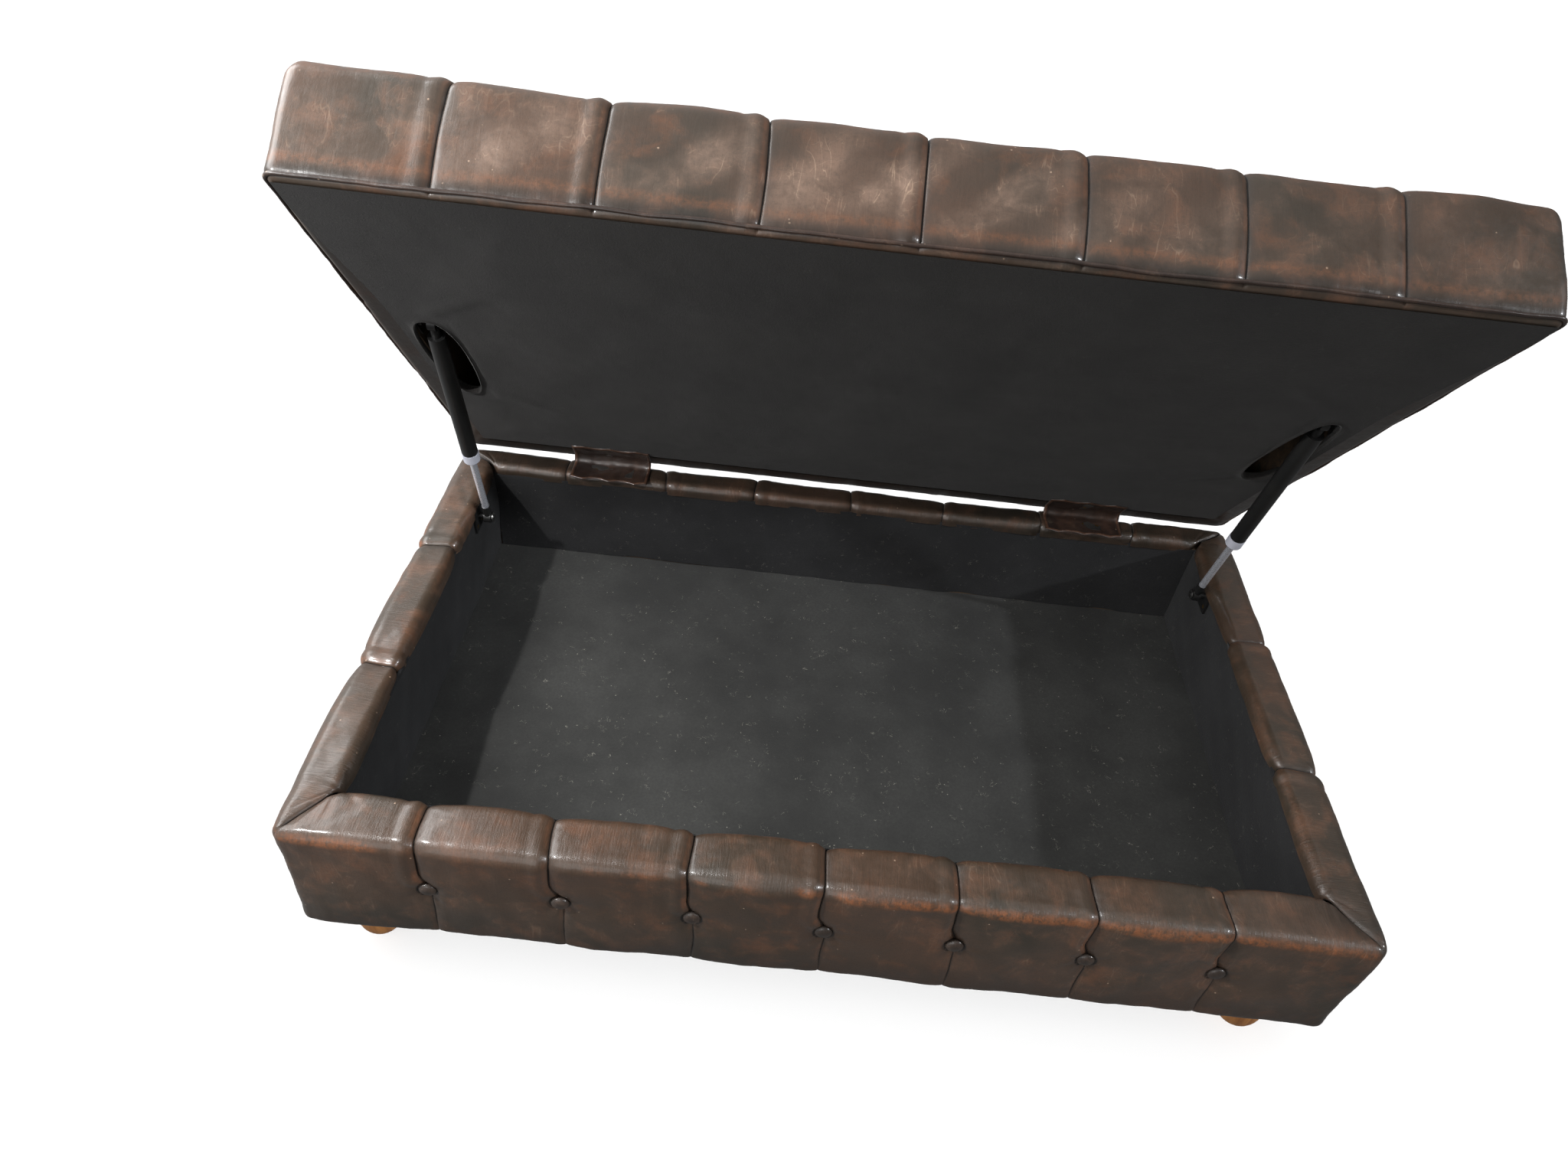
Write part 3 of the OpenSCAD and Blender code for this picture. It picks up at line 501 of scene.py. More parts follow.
def box_cover(side, seed):
    """One side of the box's leather, with its buttons' dimples, its pleats, and puffs between them."""
    i = ORDER.index(side)
    plan = BOX_SIDES[side]
    length = plan[3]
    rows, first = cover_rows(RAIL[side])
    before, after = (cover_rows(RAIL[ORDER[(i + k) % 4]])[0][:, 0] for k in (-1, 1))
    lines = pleat_lines(side, length)
    p, n, _, along, s = swept(plan, columns(length, lines), rows, before, after, BOX_ROUND, BOX_Z)
    v = rows[:, 4:5]
    v_button = rows[first[2], 4] + BUTTON_Z - LOW
    v_ridge, v_inner = rows[first[3] + 6, 4], rows[first[5] + 4, 4]
    over = np.clip((v - v_ridge) / (v_inner - v_ridge), 0, 1.2)
    face = ease(v, rows[first[1], 4], rows[first[2], 4] + 25 * MM)
    rng = np.random.default_rng(seed)
    height, shift, weights = np.zeros_like(s), np.zeros_like(s), {}
    near = np.minimum(s - before[:, None], length - after[:, None] - s)
    gap = near + 4 * MM
    puff = 0.35 if side == "back" else 1.0
    for c in lines:
        aside, slant, power = rng.uniform(6, 10) * MM, rng.uniform(-4, 4) * MM, rng.uniform(0.85, 1.15)
        path = (c - aside * ease(v, v_button, v_button + 34 * MM) + slant * over + 2 * MM * (v < v_button)
                + 0.9 * MM * np.sin(v * 70 + rng.uniform(0, 6)))
        t = s - path
        gap = np.minimum(gap, np.abs(t) + 5 * MM * (v < v_button))
        around = np.hypot(s - c, v - v_button)
        above = ease(v, v_button, v_button + 15 * MM)
        strength = power * (0.15 + 0.3 * face + puff * 0.45 * above) * (1 - bell(around, 10 * MM))
        h, dx, more = fold(t, strength, 0.25 + 0.75 * above)
        height = height + h - 0.5 * MM * bell(t + 23 * MM, 1.6 * MM) * ease(over, 0.05, 0.4)
        shift = shift + dx
        deepen(weights, more)
        angle = np.arctan2(v - v_button, s - c)
        height -= 4.6 * MM * bell(around, 12 * MM) + 2.6 * MM * np.exp(-around / (26 * MM))
        reach = bell(around - 20 * MM, 11 * MM) * (0.35 + 0.65 * bell(angle + 0.9, 0.8))
        height += 0.8 * MM * np.sin(8 * angle + rng.uniform(0, 6)) * reach
        # Painted shade: near-black in the ring round each button, darker in its dimple.
        deepen(weights, {"slit": 0.75 * bell(around - 11.5 * MM, 1.6 * MM),
                         "shade": 0.6 * bell(around, 22 * MM)})
    full = (0.35 + 0.65 * face) * 4.6 * MM * (1 - (1 - puff) * ease(v, v_ridge - 15 * MM, v_ridge))
    height += full * (1 - np.exp(-gap / (19 * MM))) - 0.75 * full
    height -= 3.0 * MM * np.exp(-near / (2.4 * MM)) * ease(v, v_ridge - 30 * MM, v_ridge)
    edge_on = ease(v, v_ridge - 16 * MM, v_ridge - 4 * MM)
    # Painted shade in the mitre's gap on the rail top.
    deepen(weights, {"slit": 0.9 * np.exp(-near / (1.2 * MM)) * edge_on})
    inner = RAIL[side] - rows[:, 0:1]
    angle = np.arctan2(inner + 2 * MM, near + 2 * MM)
    fan = np.clip(np.cos(13 * angle + rng.uniform(0, 6)), 0, 1) ** 3
    height -= 1.3 * MM * fan * bell(np.hypot(inner, near) - 16 * MM, 30 * MM) * ease(over, 0.02, 0.3)
    height += Wobble(61, (0.15, 1.0 * MM), (0.05, 0.28 * MM), (0.015, 0.07 * MM))(p)
    rubbed = np.clip(0.75 + Wobble(62, (0.3, 0.4), (0.05, 0.3))(p), 0, 1)
    edges = bell(v - v_ridge + 5 * MM, 7 * MM) + 0.35 * bell(v - v_inner, 7 * MM)
    weights["wear"] = np.minimum(rubbed * edges, 1)
    weights["rub"] = 0.12 * rubbed * face
    weights["crease"] = edge_on * (0.55 + 0.45 * bell(near, 60 * MM))
    # Painted shade: darker low on the face, near the mitres, and over the back rail under the lid.
    deepen(weights, {"shade": 0.55 * (1 - ease(v, v_button - 85 * MM, v_button - 5 * MM))})
    deepen(weights, {"shade": 0.5 * np.exp(-near / (35 * MM))})
    if side == "back":
        deepen(weights, {"shade": 0.6 * edge_on * (1 - 0.7 * bell(v - v_inner, 5 * MM))})
    cap = (3.4 if side == "front" else 2.2) * MM
    flattened = np.where(height > 0, cap * np.tanh(height / cap), height)
    height += edge_on * (flattened - height)
    moved = p + n * height[..., None] + along * shift[..., None]
    skin = Skin()
    skin.patch(p, moved, np.stack([s, v * np.ones_like(s)], -1), weights)
    obj = skin.build(f"{side}_leather", "leather")
    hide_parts(f"{side}_cover", f"{side}_pad")
    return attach(obj, "box")


# ---------------------------------------------------------------- lid cover

LID_LOW, LID_TOP, LID_ROUND, CROWN = 11 * MM, 24 * MM, 14 * MM, 6 * MM
MID_Y = (Y0 + Y1) / 2
ROW_GAP = SIDE_PITCH / 2


def lid_buttons():
    """Button places on the lid's top, row by row: seven, then eight between them."""
    return {(k, r): (k * PITCH / 2, MID_Y + r * ROW_GAP) for r in range(-2, 3)
            for k in range(-7, 8) if (k + r) % 2 == 0 and abs(k) <= (6 if r % 2 == 0 else 7)}


def lid_pleats(buttons):
    """Pleat lines between buttons, and from the outer ones over the edge."""
    lines = [((x, y), buttons[k + side, r + 1]) for (k, r), (x, y) in buttons.items()
             for side in (-1, 1) if (k + side, r + 1) in buttons]
    band = 130 * MM
    for (k, r), (x, y) in buttons.items():
        if r == -2:
            lines.append(((x, LID_LO.y - band), (x, y)))
        if r == 2:
            lines.append(((x, y), (x, LID_HI.y + band)))
        if abs(k) == 7:
            edge = math.copysign(LID_HI.x + band, x)
            lines.append(((min(x, edge), y), (max(x, edge), y)))
    return lines


def tuft(u, depth, seed):
    """Tufting at places u of the unfolded cover: height, sideways move and weights. depth is 1 on the top
    and 0 on the band."""
    shape = u.shape[:-1]
    u = u.reshape(-1, 2)
    depth = np.broadcast_to(depth, shape).ravel()
    buttons = lid_buttons()
    rng = np.random.default_rng(seed)
    near, signed, across = np.full(len(u), 9.0), np.zeros(len(u)), np.zeros((len(u), 2))
    power = np.ones(len(u))
    for a, b in lid_pleats(buttons):
        a, b = np.array(a), np.array(b)
        d = b - a
        length = np.linalg.norm(d)
        share = np.clip((u - a) @ d / length ** 2, 0, 1)
        side = np.array([d[1], -d[0]]) / length
        bow = rng.uniform(-3, 3) * MM * np.sin(math.pi * share * (2 if length > 0.18 else 1))
        gap = u - a - share[:, None] * d - bow[:, None] * side
        dist = np.linalg.norm(gap, axis=1)
        closer = dist < near
        near = np.where(closer, dist, near)
        signed = np.where(closer, dist * np.sign(gap @ side), signed)
        across[closer] = side
        power = np.where(closer, rng.uniform(0.8, 1.15), power)
    around = np.full(len(u), 9.0)
    for c in buttons.values():
        around = np.minimum(around, np.linalg.norm(u - np.array(c), axis=1))
    height = -(1.4 + 9.5 * depth ** 1.5) * MM * np.exp(-near / ((13 + 12 * depth) * MM))
    height -= depth * (8 * MM * bell(around, 14 * MM) + 4 * MM * np.exp(-around / (30 * MM)))
    power *= (1 - bell(around, 11 * MM)) * (0.85 - 0.2 * depth)
    h, move, weights = fold(signed, power, 1 - 0.5 * depth, 1 + 1.1 * depth)
    # Painted shade: near-black in the ring round each button, darker in its dimple on the top.
    deepen(weights, {"slit": 0.85 * bell(around - 11.5 * MM, 2.2 * MM),
                     "shade": 0.7 * depth * bell(around, 20 * MM)})
    return ((height + h).reshape(shape), (move[:, None] * across).reshape(*shape, 2),
            {k: v.reshape(shape) for k, v in weights.items()})


def lid_cover():
    """The lid's leather in five patches: a band on each side, turned over the edge, and the tufted top."""
    edge_t = LID_T - CROWN
    rows, first = joined([
        straight((0.038, 0), (LID_LOW, 0), 4, (0, -1)),
        arc((LID_LOW, LID_LOW), LID_LOW, -90, 0, 7),
        straight((0, LID_LOW), (0, edge_t - LID_TOP), 24, (1, 0)),
        arc((LID_TOP, edge_t - LID_TOP), LID_TOP, 0, 90, 11),
    ])
    v = rows[:, 4:5]
    depth = ease(v, rows[first[3], 4] + 12 * MM, rows[-1, 4] + 20 * MM)
    noise = Wobble(91, (0.17, 1.1 * MM), (0.06, 0.35 * MM), (0.018, 0.09 * MM))
    patchy = Wobble(92, (0.35, 0.35), (0.08, 0.35))
    skin = Skin()
    places = {}
    seam = rows[first[1], 4] + 11 * MM
    top_edge = rows[first[3] + 6, 4]
    for side in ORDER:
        corner, along2, inward2, length = LID_SIDES[side]
        cols = columns(length, pleat_lines(side, length), 1.2 * MM, 4.9 * MM, 3 * MM)
        places[side] = cols
        p, n, up, along, s = swept(LID_SIDES[side], cols, rows, rows[:, 0], rows[:, 0], LID_ROUND, LID_Z)
        deep = LID_TOP - (v[-1, 0] - v)
        u = np.array(corner) + s[..., None] * np.array(along2) + deep[..., None] * np.array(inward2)
        height, move, weights = tuft(u, depth, 5)
        live = ease(v, rows[first[1], 4], rows[first[2], 4])
        height = height * live + noise(p) * live
        height -= 0.7 * MM * bell(v - seam, 4 * MM)
        height += 1.0 * MM * np.sin(math.pi * np.clip((v - seam) / (top_edge - seam), 0, 1))
        weights = {k: w * live for k, w in weights.items()}
        # Painted shade: near-black in the seam's groove, darker just above it, and dark on the leather turned
        # under the edge.
        deepen(weights, {"slit": 0.6 * bell(v - seam, 1.6 * MM),
                         "shade": 0.65 * bell(v - seam - 4 * MM, 9 * MM)})
        deepen(weights, {"shade": 0.9 * (1 - ease(v, seam - 12 * MM, seam - 3 * MM))})
        weights["wear"] = 0.45 * bell(v - seam - 17 * MM, 8 * MM) + 0.5 * bell(v - top_edge, 12 * MM)
        middle = bell(v - 0.62 * top_edge, 40 * MM) * ease(s, 0.1, 0.25)
        middle = middle * (1 - 0.9 * ease(s, length * 0.45, length * 0.72))
        weights["rub"] = np.clip((0.62 + patchy(p)) * (0.15 + 0.85 * middle) * (1 - weights["shade"]), 0, 1)
        a, b = move @ np.array(along2), move @ np.array(inward2)
        moved = p + n * height[..., None] + (along * a[..., None] + up * b[..., None]) * live[..., None]
        skin.patch(p, moved, u, weights)

    def inset(side):
        """The columns of a side where they meet the top."""
        cols, length, zone = places[side], LID_SIDES[side][3], MITRE_ZONE
        at = np.where(cols < zone, LID_TOP + cols * (zone - LID_TOP) / zone, cols)
        last = length - LID_TOP - (length - cols) * (zone - LID_TOP) / zone
        return np.where(cols > length - zone, last, at)

    x, y = np.meshgrid(inset("front") - LID_HI.x, inset("right") + LID_LO.y)
    flat = np.stack([x, y, np.full_like(x, LID_Z + edge_t)], -1)
    rim = np.minimum(LID_HI.x - np.abs(x), np.minimum(y - LID_LO.y, LID_HI.y - y)) - LID_TOP
    height, move, weights = tuft(flat[..., :2], ease(rim, -40 * MM, 20 * MM), 5)
    height += noise(flat) + CROWN * ease(rim, 0, 90 * MM)
    moved = flat + np.concatenate([move, height[..., None]], -1)
    weights["wear"] = 0.3 * np.exp(-rim / (20 * MM))
    weights["rub"] = np.clip(0.35 + patchy(flat), 0, 0.8) * (1 - weights["shade"])
    skin.patch(flat, moved, flat[..., :2], weights)
    obj = skin.build("lid_leather", "leather", OPEN)
    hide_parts("lid_cover", "lid_border", "lid_foam")
    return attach(obj, "lid")


def piping():
    """A welt round the lid's lower edge, a little uneven."""
    rows = np.array([[1.2 * MM, 5 * MM, 1, 0, 0]])
    ring, out = [], []
    for side in ORDER:
        length = LID_SIDES[side][3]
        cols = columns(length, pleat_lines(side, length), 2 * MM, 5 * MM, 3 * MM)
        p, n, *_ = swept(LID_SIDES[side], cols, rows, rows[:, 0], rows[:, 0], LID_ROUND, LID_Z)
        ring.append(p[0, :-1])
        out.append(n[0, :-1])
    ring, out = np.concatenate(ring), np.concatenate(out)
    ring = ring + out * Wobble(12, (0.12, 0.5 * MM), (0.03, 0.15 * MM))(ring)[:, None]
    ring[:, 2] += Wobble(13, (0.16, 0.6 * MM), (0.04, 0.2 * MM))(ring)
    turn = np.linspace(0, 2 * math.pi, 13)[:-1]
    r = 2.1 * MM
    co = ring[:, None] + r * (np.cos(turn)[None, :, None] * out[:, None] + np.sin(turn)[None, :, None] * UP)
    m, k = len(ring), len(turn)
    ids = np.arange(m * k).reshape(m, k)
    after, beside = np.roll(ids, -1, 0), np.roll(ids, -1, 1)
    faces = np.stack([ids, after, np.roll(after, -1, 1), beside], -1).reshape(-1, 4)
    run = np.concatenate([[0], np.cumsum(np.linalg.norm(np.diff(ring, axis=0), axis=1))])
    uv = np.stack([np.repeat(run, k), np.tile(turn * r, m)], -1)
    weights = {"wear": np.tile(0.35 * bell(turn - 0.2, 0.5), m), "rub": np.full(m * k, 0.05)}
    obj = piece("lid_welt", "leather_trim", co.reshape(-1, 3), faces, uv[faces], weights, OPEN)
    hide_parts("lid_piping")
    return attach(obj, "lid")


# ---------------------------------------------------------------- buttons

def buttons(name, spots, body, node, turn=None):
    """Leather-covered buttons, one mesh: spots are (place, outward normal)."""
    rng = np.random.default_rng(len(spots))
    r, rings, around = 10.5 * MM, 9, 28
    q = np.linspace(0, 1, rings)
    radius = np.concatenate([r * np.sin(q * math.pi / 2), [r, r * 0.93, r * 0.8]])
    rise = np.concatenate([5.2 * MM * np.cos(q * math.pi / 2) ** 0.9 + 2 * MM, [1.2 * MM, 0, -1.5 * MM]])
    angle = np.linspace(0, 2 * math.pi, around + 1)[:-1]
    co, faces, wear, count = [], [], [], 0
    for place, normal in spots:
        normal = Vector(normal) + Vector(rng.uniform(-0.05, 0.05, 3))
        tilt = np.array(normal.to_track_quat("Z", "Y").to_matrix())
        pleat = 1 + 0.018 * np.sin(angle * 9 + rng.uniform(0, 6))[None, :] * (radius / r)[:, None] ** 3
        x = radius[:, None] * np.cos(angle) * pleat
        y = radius[:, None] * np.sin(angle) * pleat
        z = np.repeat(rise[:, None], around, 1) + rng.uniform(-0.5, 0.5) * MM
        local = np.stack([x, y, z], -1).reshape(-1, 3)
        co.append(local @ tilt.T + np.array(place))
        ids = count + np.arange(len(radius) * around).reshape(len(radius), around)
        beside = np.roll(ids, -1, 1)
        faces.append(np.stack([ids[:-1], ids[1:], beside[1:], beside[:-1]], -1).reshape(-1, 4))
        wear.append(np.repeat(bell(radius - 7 * MM, 4 * MM), around) * rng.uniform(0.3, 0.9))
        count += len(local)
    co, faces = np.concatenate(co), np.concatenate(faces)
    uv = (co[:, :2] + co[:, 2:3])[faces]
    obj = piece(name, "button_leather", co, faces, uv, {"wear": np.concatenate(wear)}, turn)
    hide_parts(node)
    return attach(obj, body)


def box_button_spots():
    """Place and outward normal of each button on the box's faces."""
    spots = []
    for side in ORDER:
        corner, along, inward, length = BOX_SIDES[side]
        start, sunk = np.array([*corner, BOX_Z + BUTTON_Z]), 7.5 * MM * np.array([*inward, 0])
        for c in pleat_lines(side, length):
            spots.append((start + c * np.array([*along, 0]) + sunk, (-inward[0], -inward[1], 0)))
    return spots


# ---------------------------------------------------------------- cloths

def felt_wall(side, seed):
    """One felt side of the tub: glued on, a little wavy, its lower edge cut by hand."""
    lo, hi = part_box(f"{side}_lining")
    _, along, inward, _ = BOX_SIDES[side]
    al, inw = np.array([*along, 0.0]), np.array([*inward, 0.0])
    span = [abs(np.dot(np.array(hi) - np.array(lo), v)) for v in (al, inw)]
    middle = (np.array(lo) + np.array(hi)) / 2
    rise = hi.z - lo.z
    s, z = np.meshgrid(np.linspace(-span[0] / 2, span[0] / 2, int(span[0] / (8 * MM))),
                       np.linspace(0, rise, 22))
    flat = middle + s[..., None] * al + (z - rise / 2)[..., None] * UP + span[1] / 2 * inw
    soft = Wobble(seed, (0.16, 0.8 * MM), (0.05, 0.25 * MM))(flat) - 0.4 * MM
    moved = flat + soft[..., None] * inw
    moved[..., 2] += (Wobble(seed + 1, (0.05, 1.0 * MM))(flat) + 1.2 * MM) * (1 - ease(z, 0, 12 * MM))
    tuck, lift = (np.array(v)[:, None, None] * MM for v in ((0.5, 2.6), (0.6, 0.4)))
    top = flat[-1:] - tuck * inw + lift * UP
    base, co = np.concatenate([flat, top]), np.concatenate([moved, top])
    uv = np.stack([np.vstack([s, s[:2]]), np.vstack([z, z[-1:] + 1 * MM, z[-1:] + 3 * MM])], -1)
    skin = Skin()
    skin.patch(base, co, uv)
    obj = skin.build(f"{side}_felt", "felt")
    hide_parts(f"{side}_lining")
    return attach(obj, "box")


def flat_cloth(name, node, slot, seed, face_up=True, material=None, soft=0.5 * MM):
    """A level cloth in place of a CAD node, uneven by soft."""
    lo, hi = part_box(node)
    x, y = np.meshgrid(*(np.linspace(lo[i], hi[i], int((hi[i] - lo[i]) / (9 * MM))) for i in (0, 1)))
    flat = np.stack([x, y, np.full_like(x, hi.z if face_up else lo.z)], -1)
    moved = flat.copy()
    moved[..., 2] += Wobble(seed, (0.2, soft), (0.06, soft * 0.4))(flat) - soft * 0.6
    skin = Skin()
    skin.patch(flat, moved, flat[..., :2], flip=not face_up)
    obj = skin.build(name, slot, material=material)
    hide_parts(node)
    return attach(obj, "box")


def dust_cover():
    """The cloth under the lid: to the piping in front, short of the edge elsewhere, with a slit and a curled
    lip for each strut."""
    front, sides, back = 8 * MM, 30 * MM, 44 * MM
    depth = LID_HI.y - LID_LO.y
    hole_x = abs((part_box("left_cylinder")[0].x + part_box("left_cylinder")[1].x) / 2 + 3 * MM)
    hole_y = MID_Y + 22 * MM
    level = LID_Z - 0.9 * MM

    def sag(flat):
        """Loose cloth between its tacked edges, with a soft pull from each end of the slits."""
        edge = np.minimum(np.minimum(flat[..., 1] - LID_LO.y - front, LID_HI.y - back - flat[..., 1]),
                          LID_HI.x - sides - np.abs(flat[..., 0]))
        loose = ease(edge, 0, 60 * MM)
        h = (Wobble(32, (0.3, 0.8 * MM), (0.09, 0.35 * MM), (0.03, 0.08 * MM))(flat) - 0.7 * MM) * loose
        for side in (-1, 1):
            for end, lean in ((-1, -0.9), (1, 0.8)):
                dx = (flat[..., 0] - side * hole_x) * -side
                dy = flat[..., 1] - MID_Y - end * 100 * MM
                run, off = dx * 0.75 + dy * lean * 0.6, dy * 0.75 - dx * lean * 0.6
                h -= 1.8 * MM * bell(off, 7 * MM) * ease(run, 0, 15 * MM) * (1 - ease(run, 30 * MM, 150 * MM))
        return np.clip(h, -1.6 * MM, 0.2 * MM)

    a, b = np.meshgrid(np.linspace(0, 1, 166), np.linspace(0, 1, 98))
    y = LID_LO.y + front + b * (depth - front - back)
    reach = LID_HI.x - (front + (sides - front) * ease(b, 0.03, 0.4))
    flat = np.stack([(2 * a - 1) * reach, y, np.full_like(y, level)], -1)
    keep = np.ones((len(flat) - 1, flat.shape[1] - 1), bool)
    windows = []
    for side in (-1, 1):
        i0, i1 = (int(np.argmin(np.abs(flat[50, :, 0] - side * hole_x - k * 32 * MM))) for k in (-1, 1))
        j0, j1 = (int(np.argmin(np.abs(y[:, 0] - (hole_y + k * 120 * MM)))) for k in (-1, 1))
        keep[j0:j1, i0:i1] = False
        windows.append((side, i0, i1, j0, j1))
    moved = flat + UP * sag(flat)[..., None]
    skin = Skin()
    skin.patch(flat, moved, flat[..., :2], keep=keep, flip=True)
    for side, i0, i1, j0, j1 in windows:
        loop = np.concatenate([flat[j0, i0:i1], flat[j0:j1, i1], flat[j1, i1:i0:-1], flat[j1:j0:-1, i0]])
        loop = np.concatenate([loop, loop[:1]])
        middle = np.array([side * hole_x, hole_y, level])
        way = loop - middle
        angle = np.arctan2(way[:, 1] / 3.4, way[:, 0])
        half_w, half_l = 26 * MM, 106 * MM
        across = half_w * np.sign(np.cos(angle)) * np.abs(np.cos(angle)) ** 0.75
        across = across + side * 2 * MM * np.sin(angle * 2)
        rim = middle + np.stack([across, half_l * np.sin(angle), np.zeros_like(angle)], -1)
        q = np.concatenate([np.linspace(0, 0.85, 9), [0.92, 0.97, 1.0]])[:, None, None]
        flat_ring = loop * (1 - q) + rim * q
        proud = 1.8 * MM * np.exp(-np.abs(q[..., 0] - 0.97) / 0.16) * ease(q[..., 0], 0, 0.5)
        ring = flat_ring + UP * (sag(flat_ring) * (1 - q[..., 0]) - proud)[..., None]
        out = (rim - middle) / np.linalg.norm(rim - middle, axis=1)[:, None]
        tuck_flat = [rim - out * k * MM for k in (0.4, 0.8, 1.2, 1.6)]
        rolled = [rim - out * k * MM + np.array([0, 0, rise * MM])
                  for k, rise in ((1.6, -1.3), (2.6, 0.4), (2.2, 4.0), (0.8, 9.0))]
        flat_ring = np.concatenate([flat_ring, np.array(tuck_flat)])
        ring = np.concatenate([ring, np.array(rolled)])
        skin.patch(flat_ring, ring, flat_ring[..., :2], flip=True)
    obj = skin.build("lid_underside_cloth", "dust_cloth", OPEN)
    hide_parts("lid_dust_cover")
    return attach(obj, "lid")


def flap(x, seed):
    """A leather flap over one hinge: flat on the rail, over the joint, and up the underside of the lid."""
    lift = LID_Z - 1.9 * MM
    rest_z = BOX_Z + BOX_H + 1.6 * MM
    base = [(Y1 - (16 + 45 * (1 - t)) * MM, rest_z) for t in np.linspace(0, 1, 16)]
    upper = [OPEN @ Vector((0, Y1 - (16 + 45 * t) * MM, lift)) for t in np.linspace(0.06, 1, 16)]
    path = np.array(base + [(p.y, p.z) for p in upper])
    for _ in range(3):
        path[14:19] = (path[13:18] + 2 * path[14:19] + path[15:20]) / 4
    run = np.concatenate([[0], np.cumsum(np.linalg.norm(np.diff(path, axis=0), axis=1))])
    tangent = np.gradient(path, axis=0)
    normal = np.stack([-tangent[:, 1], tangent[:, 0]], -1) / np.linalg.norm(tangent, axis=1)[:, None]
    a = np.linspace(-0.5, 0.5, 62)
    aa, rr = np.meshgrid(a, run)
    scallop = 4.5 * MM * np.abs(np.cos(math.pi * 3 * (a + 0.5)))
    end = np.minimum(rr, run[-1] - rr)
    pull = scallop[None, :] * (1 - ease(end, 0, 22 * MM)) * np.where(rr < run[-1] / 2, 1, -1)
    where = np.clip(rr + pull, 0, run[-1])
    y, z = np.interp(where, run, path[:, 0]), np.interp(where, run, path[:, 1])
    ny, nz = np.interp(where, run, normal[:, 0]), np.interp(where, run, normal[:, 1])
    flat = np.stack([x + aa * FLAP_W, y, z], -1)
    edge = np.minimum(FLAP_W / 2 - np.abs(aa) * FLAP_W, end)
    h = Wobble(seed, (0.05, 0.7 * MM), (0.018, 0.25 * MM))(flat) * ease(edge, 0, 12 * MM) + 0.5 * MM
    h = h + 1.0 * MM * bell(edge - 3 * MM, 2 * MM) - 0.8 * MM * bell(edge, 1.3 * MM)
    co = flat + h[..., None] * np.stack([0 * ny, ny, nz], -1)
    skin = Skin()
    skin.patch(np.stack([aa, rr, 0 * aa], -1), co, np.stack([aa * FLAP_W, rr], -1),
               {"wear": 0.8 * bell(edge - 2.5 * MM, 2.5 * MM) + 0.4 * bell(rr - run[15], 5 * MM),
                "lip": 0.5 * bell(edge - 1.5 * MM, 1.5 * MM), "slit": 0.6 * bell(edge - 5.5 * MM, 1 * MM)})
    obj = skin.build("flap_left" if x < 0 else "flap_right", "leather_trim")
    solid = obj.modifiers.new("hide", "SOLIDIFY")
    solid.thickness, solid.offset = 1.0 * MM, -1
    bpy.context.view_layer.objects.active = obj
    with bpy.context.temp_override(object=obj, active_object=obj, selected_objects=[obj]):
        bpy.ops.object.modifier_apply(modifier="hide")
    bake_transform(obj)
    return obj


# ---------------------------------------------------------------- build

for k, side in enumerate(ORDER):
    box_cover(side, 11 + k)
    felt_wall(side, 71 + 2 * k)
lid_cover()
piping()
buttons("box_buttons_covered", box_button_spots(), "box", "base_buttons")
top = LID_Z + LID_T
buttons("lid_buttons_covered", [((x, y, top - 25 * MM), (0, 0, 1)) for x, y in lid_buttons().values()],
        "lid", "lid_buttons", OPEN)
flat_cloth("floor_felt", "floor_lining", "felt", 81, material=FLOOR_FELT)
flat_cloth("underside_cloth", "base_dust_cover", "dust_cloth", 83, face_up=False,
           soft=0.4 * MM)
dust_cover()
for cover in [flap(side * FLAP_X, 85 + side) for side in (-1, 1)]:
    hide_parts("hinge_flaps_base", "hinge_flaps_lid")


# ---------------------------------------------------------------- stage, lights, camera

def stage(name, corners, faces, **look):
    """A pale surface that only the camera sees, so it neither mirrors in the leather nor brightens it."""
    mesh = bpy.data.meshes.new(name)
    mesh.from_pydata(corners, [], faces)
    s = Shader(name, Roughness=0.8, Specular_IOR_Level=0.1, **look)
    mesh.materials.append(s.finish(s.mix(s.noise(0.8, 2), (0.88, 0.88, 0.88, 1), (0.9, 0.9, 0.9, 1))))
    obj = bpy.data.objects.new(name, mesh)
    obj.visible_glossy = obj.visible_diffuse = obj.visible_shadow = False
    bpy.context.scene.collection.objects.link(obj)
    return obj


def studio_world():
    """Soft sky, bright up and to the left, dim below."""
    world = bpy.data.worlds.new("studio")
    bpy.context.scene.world = world
    world.use_nodes = True
    tree = world.node_tree
    way = tree.nodes.new("ShaderNodeTexCoord").outputs["Generated"]
    dot = tree.nodes.new("ShaderNodeVectorMath")
    dot.operation = "DOT_PRODUCT"
    dot.inputs[1].default_value = Vector((-0.8, 0.05, 0.6)).normalized()
    tree.links.new(way, dot.inputs[0])
    ramp = tree.nodes.new("ShaderNodeMapRange")
    ramp.interpolation_type = "SMOOTHSTEP"
    for socket, value in (("From Min", -0.35), ("From Max", 1.0), ("To Min", 0.13), ("To Max", 0.8)):
        ramp.inputs[socket].default_value = value
    tree.links.new(dot.outputs["Value"], ramp.inputs["Value"])
    tree.links.new(ramp.outputs["Result"], tree.nodes["Background"].inputs["Strength"])
    tree.nodes["Background"].inputs["Color"].default_value = (1, 1, 1, 1)


def lamp(name, kind, place, target, energy, size, colour=(1, 1, 1), size_y=None):
    """An AREA lamp of a size in metres, or a SUN of a size in radians, aimed at target."""
    data = bpy.data.lights.new(name, kind)
    data.energy, data.color = energy, colour
    if kind == "AREA":
        data.shape = "RECTANGLE"
        data.size, data.size_y = size, size_y or size
    if kind == "SUN":
        data.angle = size
    obj = bpy.data.objects.new(name, data)
    obj.location = place
    obj.rotation_euler = (Vector(target) - Vector(place)).to_track_quat("-Z", "Y").to_euler()
    bpy.context.scene.collection.objects.link(obj)
    return obj


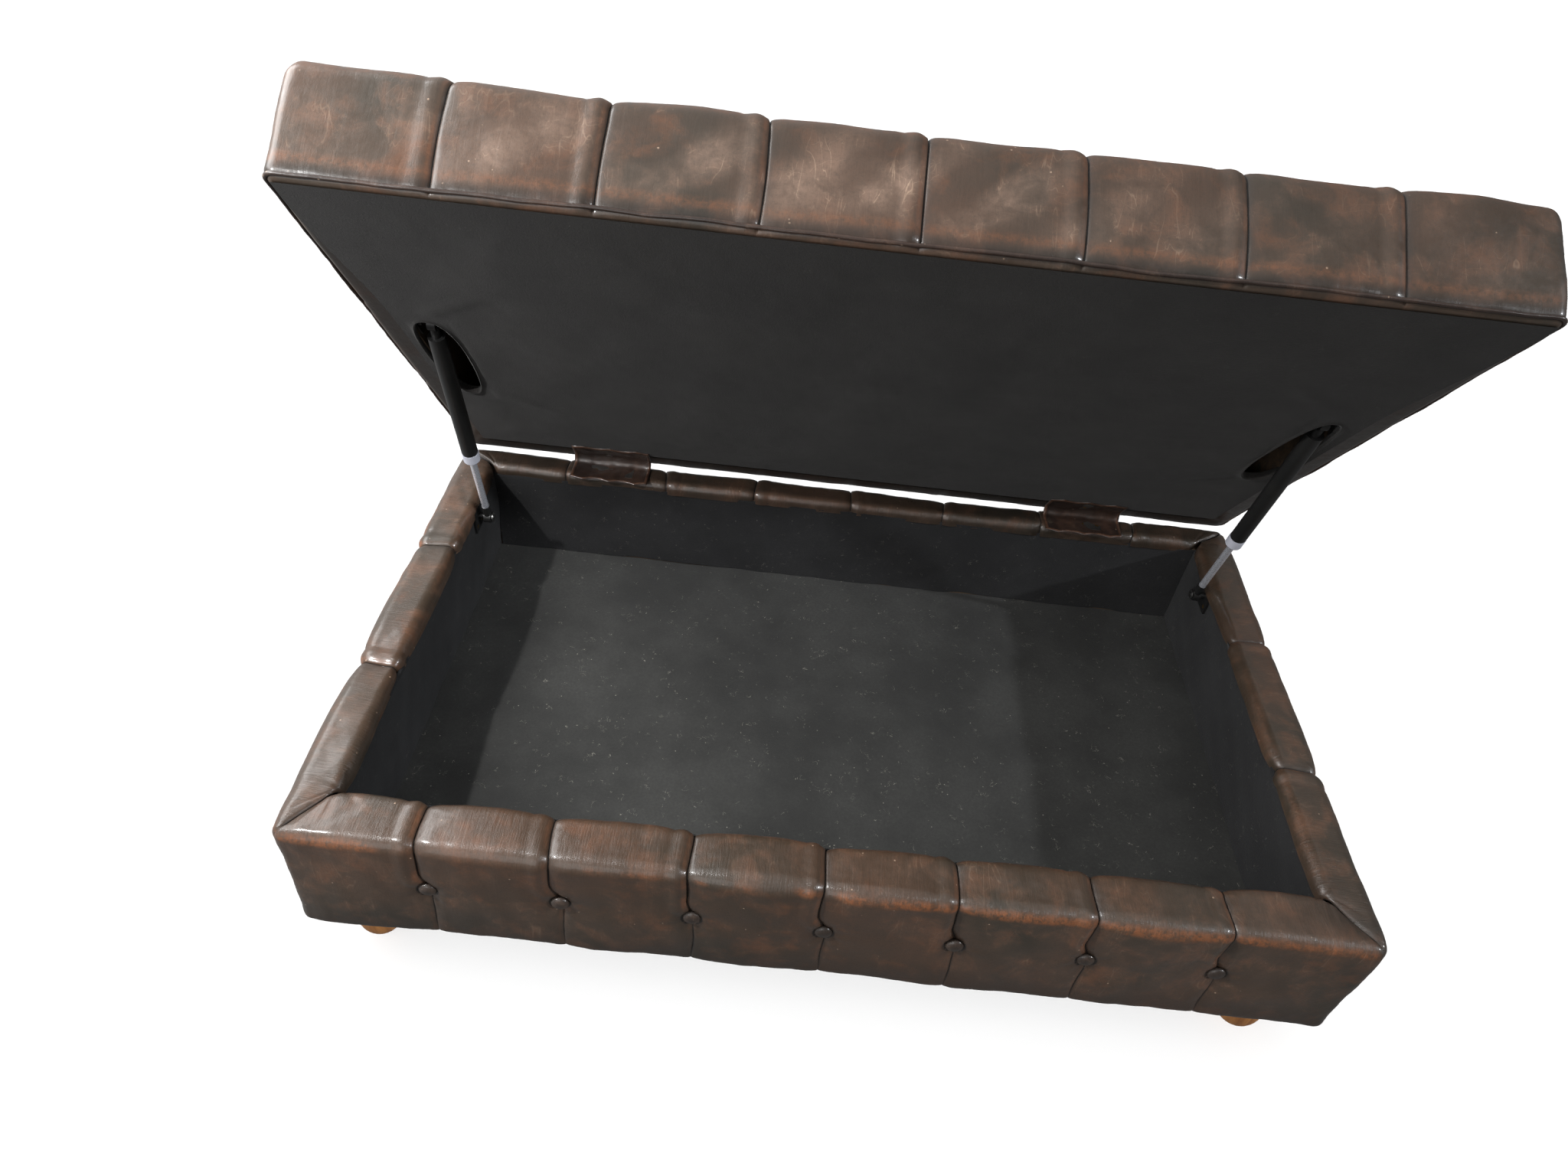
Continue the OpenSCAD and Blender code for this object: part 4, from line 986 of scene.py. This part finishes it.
def light_group(name, objects, state):
    """A group that a lamp's light or shadows are kept to, or kept off."""
    group = bpy.data.collections.new(name)
    for obj in objects:
        group.objects.link(obj)
    for entry in group.collection_objects:
        entry.light_linking.link_state = state
    return group


STAGE_SIZE = 30.0
ground = [(x * STAGE_SIZE, y * STAGE_SIZE, 0) for x, y in ((-1, -1), (1, -1), (1, 1), (-1, 1))]
floor = stage("studio_floor", ground, [(0, 1, 2, 3)])
stage("studio_walls", ground + [(x, y, STAGE_SIZE) for x, y, _ in ground],
      [(i, (i + 1) % 4, (i + 1) % 4 + 4, i + 4) for i in range(4)] + [(4, 5, 6, 7)],
      Emission_Color=(1, 1, 1, 1), Emission_Strength=1.0)
studio_world()
lamps = [
    lamp("key", "AREA", (-1.13, -0.61, 1.25), (-0.3, 0, 0.2), 13, 0.04),
    lamp("right", "SUN", (1.7, -0.55, 1.0), (0, 0, 0), 1.5, math.radians(2), (0.93, 0.96, 1.0)),
    lamp("window", "AREA", (-2.1, 0.3, 1.9), (0, 0, 0.4), 60, 2.4, size_y=1.2),
    lamp("front", "AREA", (-0.9, -2.4, 1.2), (-0.1, -0.2, 0.3), 11, 1.5),
]
off_floor = light_group("off_floor", [floor], "EXCLUDE")
for one in lamps:
    one.light_linking.receiver_collection = off_floor
struts = [n for name, n in frame["nodes"].items() if name.startswith(("left_", "right_"))
          and any(k in name for k in ("rod", "clip", "cylinder", "collar"))]
lamps[0].light_linking.blocker_collection = light_group("no_strut_shadow", struts, "EXCLUDE")
wash = lamp("floor_wash", "SUN", (0, 0, 3), (0, 0, 0), 2.6, math.radians(1))
wash.data.use_shadow = False
wash.light_linking.receiver_collection = light_group("floor_only", [floor], "INCLUDE")

camera = bpy.data.objects.new("camera", bpy.data.cameras.new("camera"))
bpy.context.scene.collection.objects.link(camera)
camera.data.sensor_width, camera.data.lens = 36, 23.37
yaw, pitch, roll = (math.radians(v) for v in (-0.6817, 47.6612, 6.7571))
camera.matrix_world = (Matrix.Translation((-0.0963, -0.99354, 1.2216)) @ Matrix.Rotation(yaw, 4, "Z")
                       @ Matrix.Rotation(pitch, 4, "X") @ Matrix.Rotation(roll, 4, "Z"))
bpy.context.scene.camera = camera
bpy.context.scene.view_settings.view_transform = "Standard"
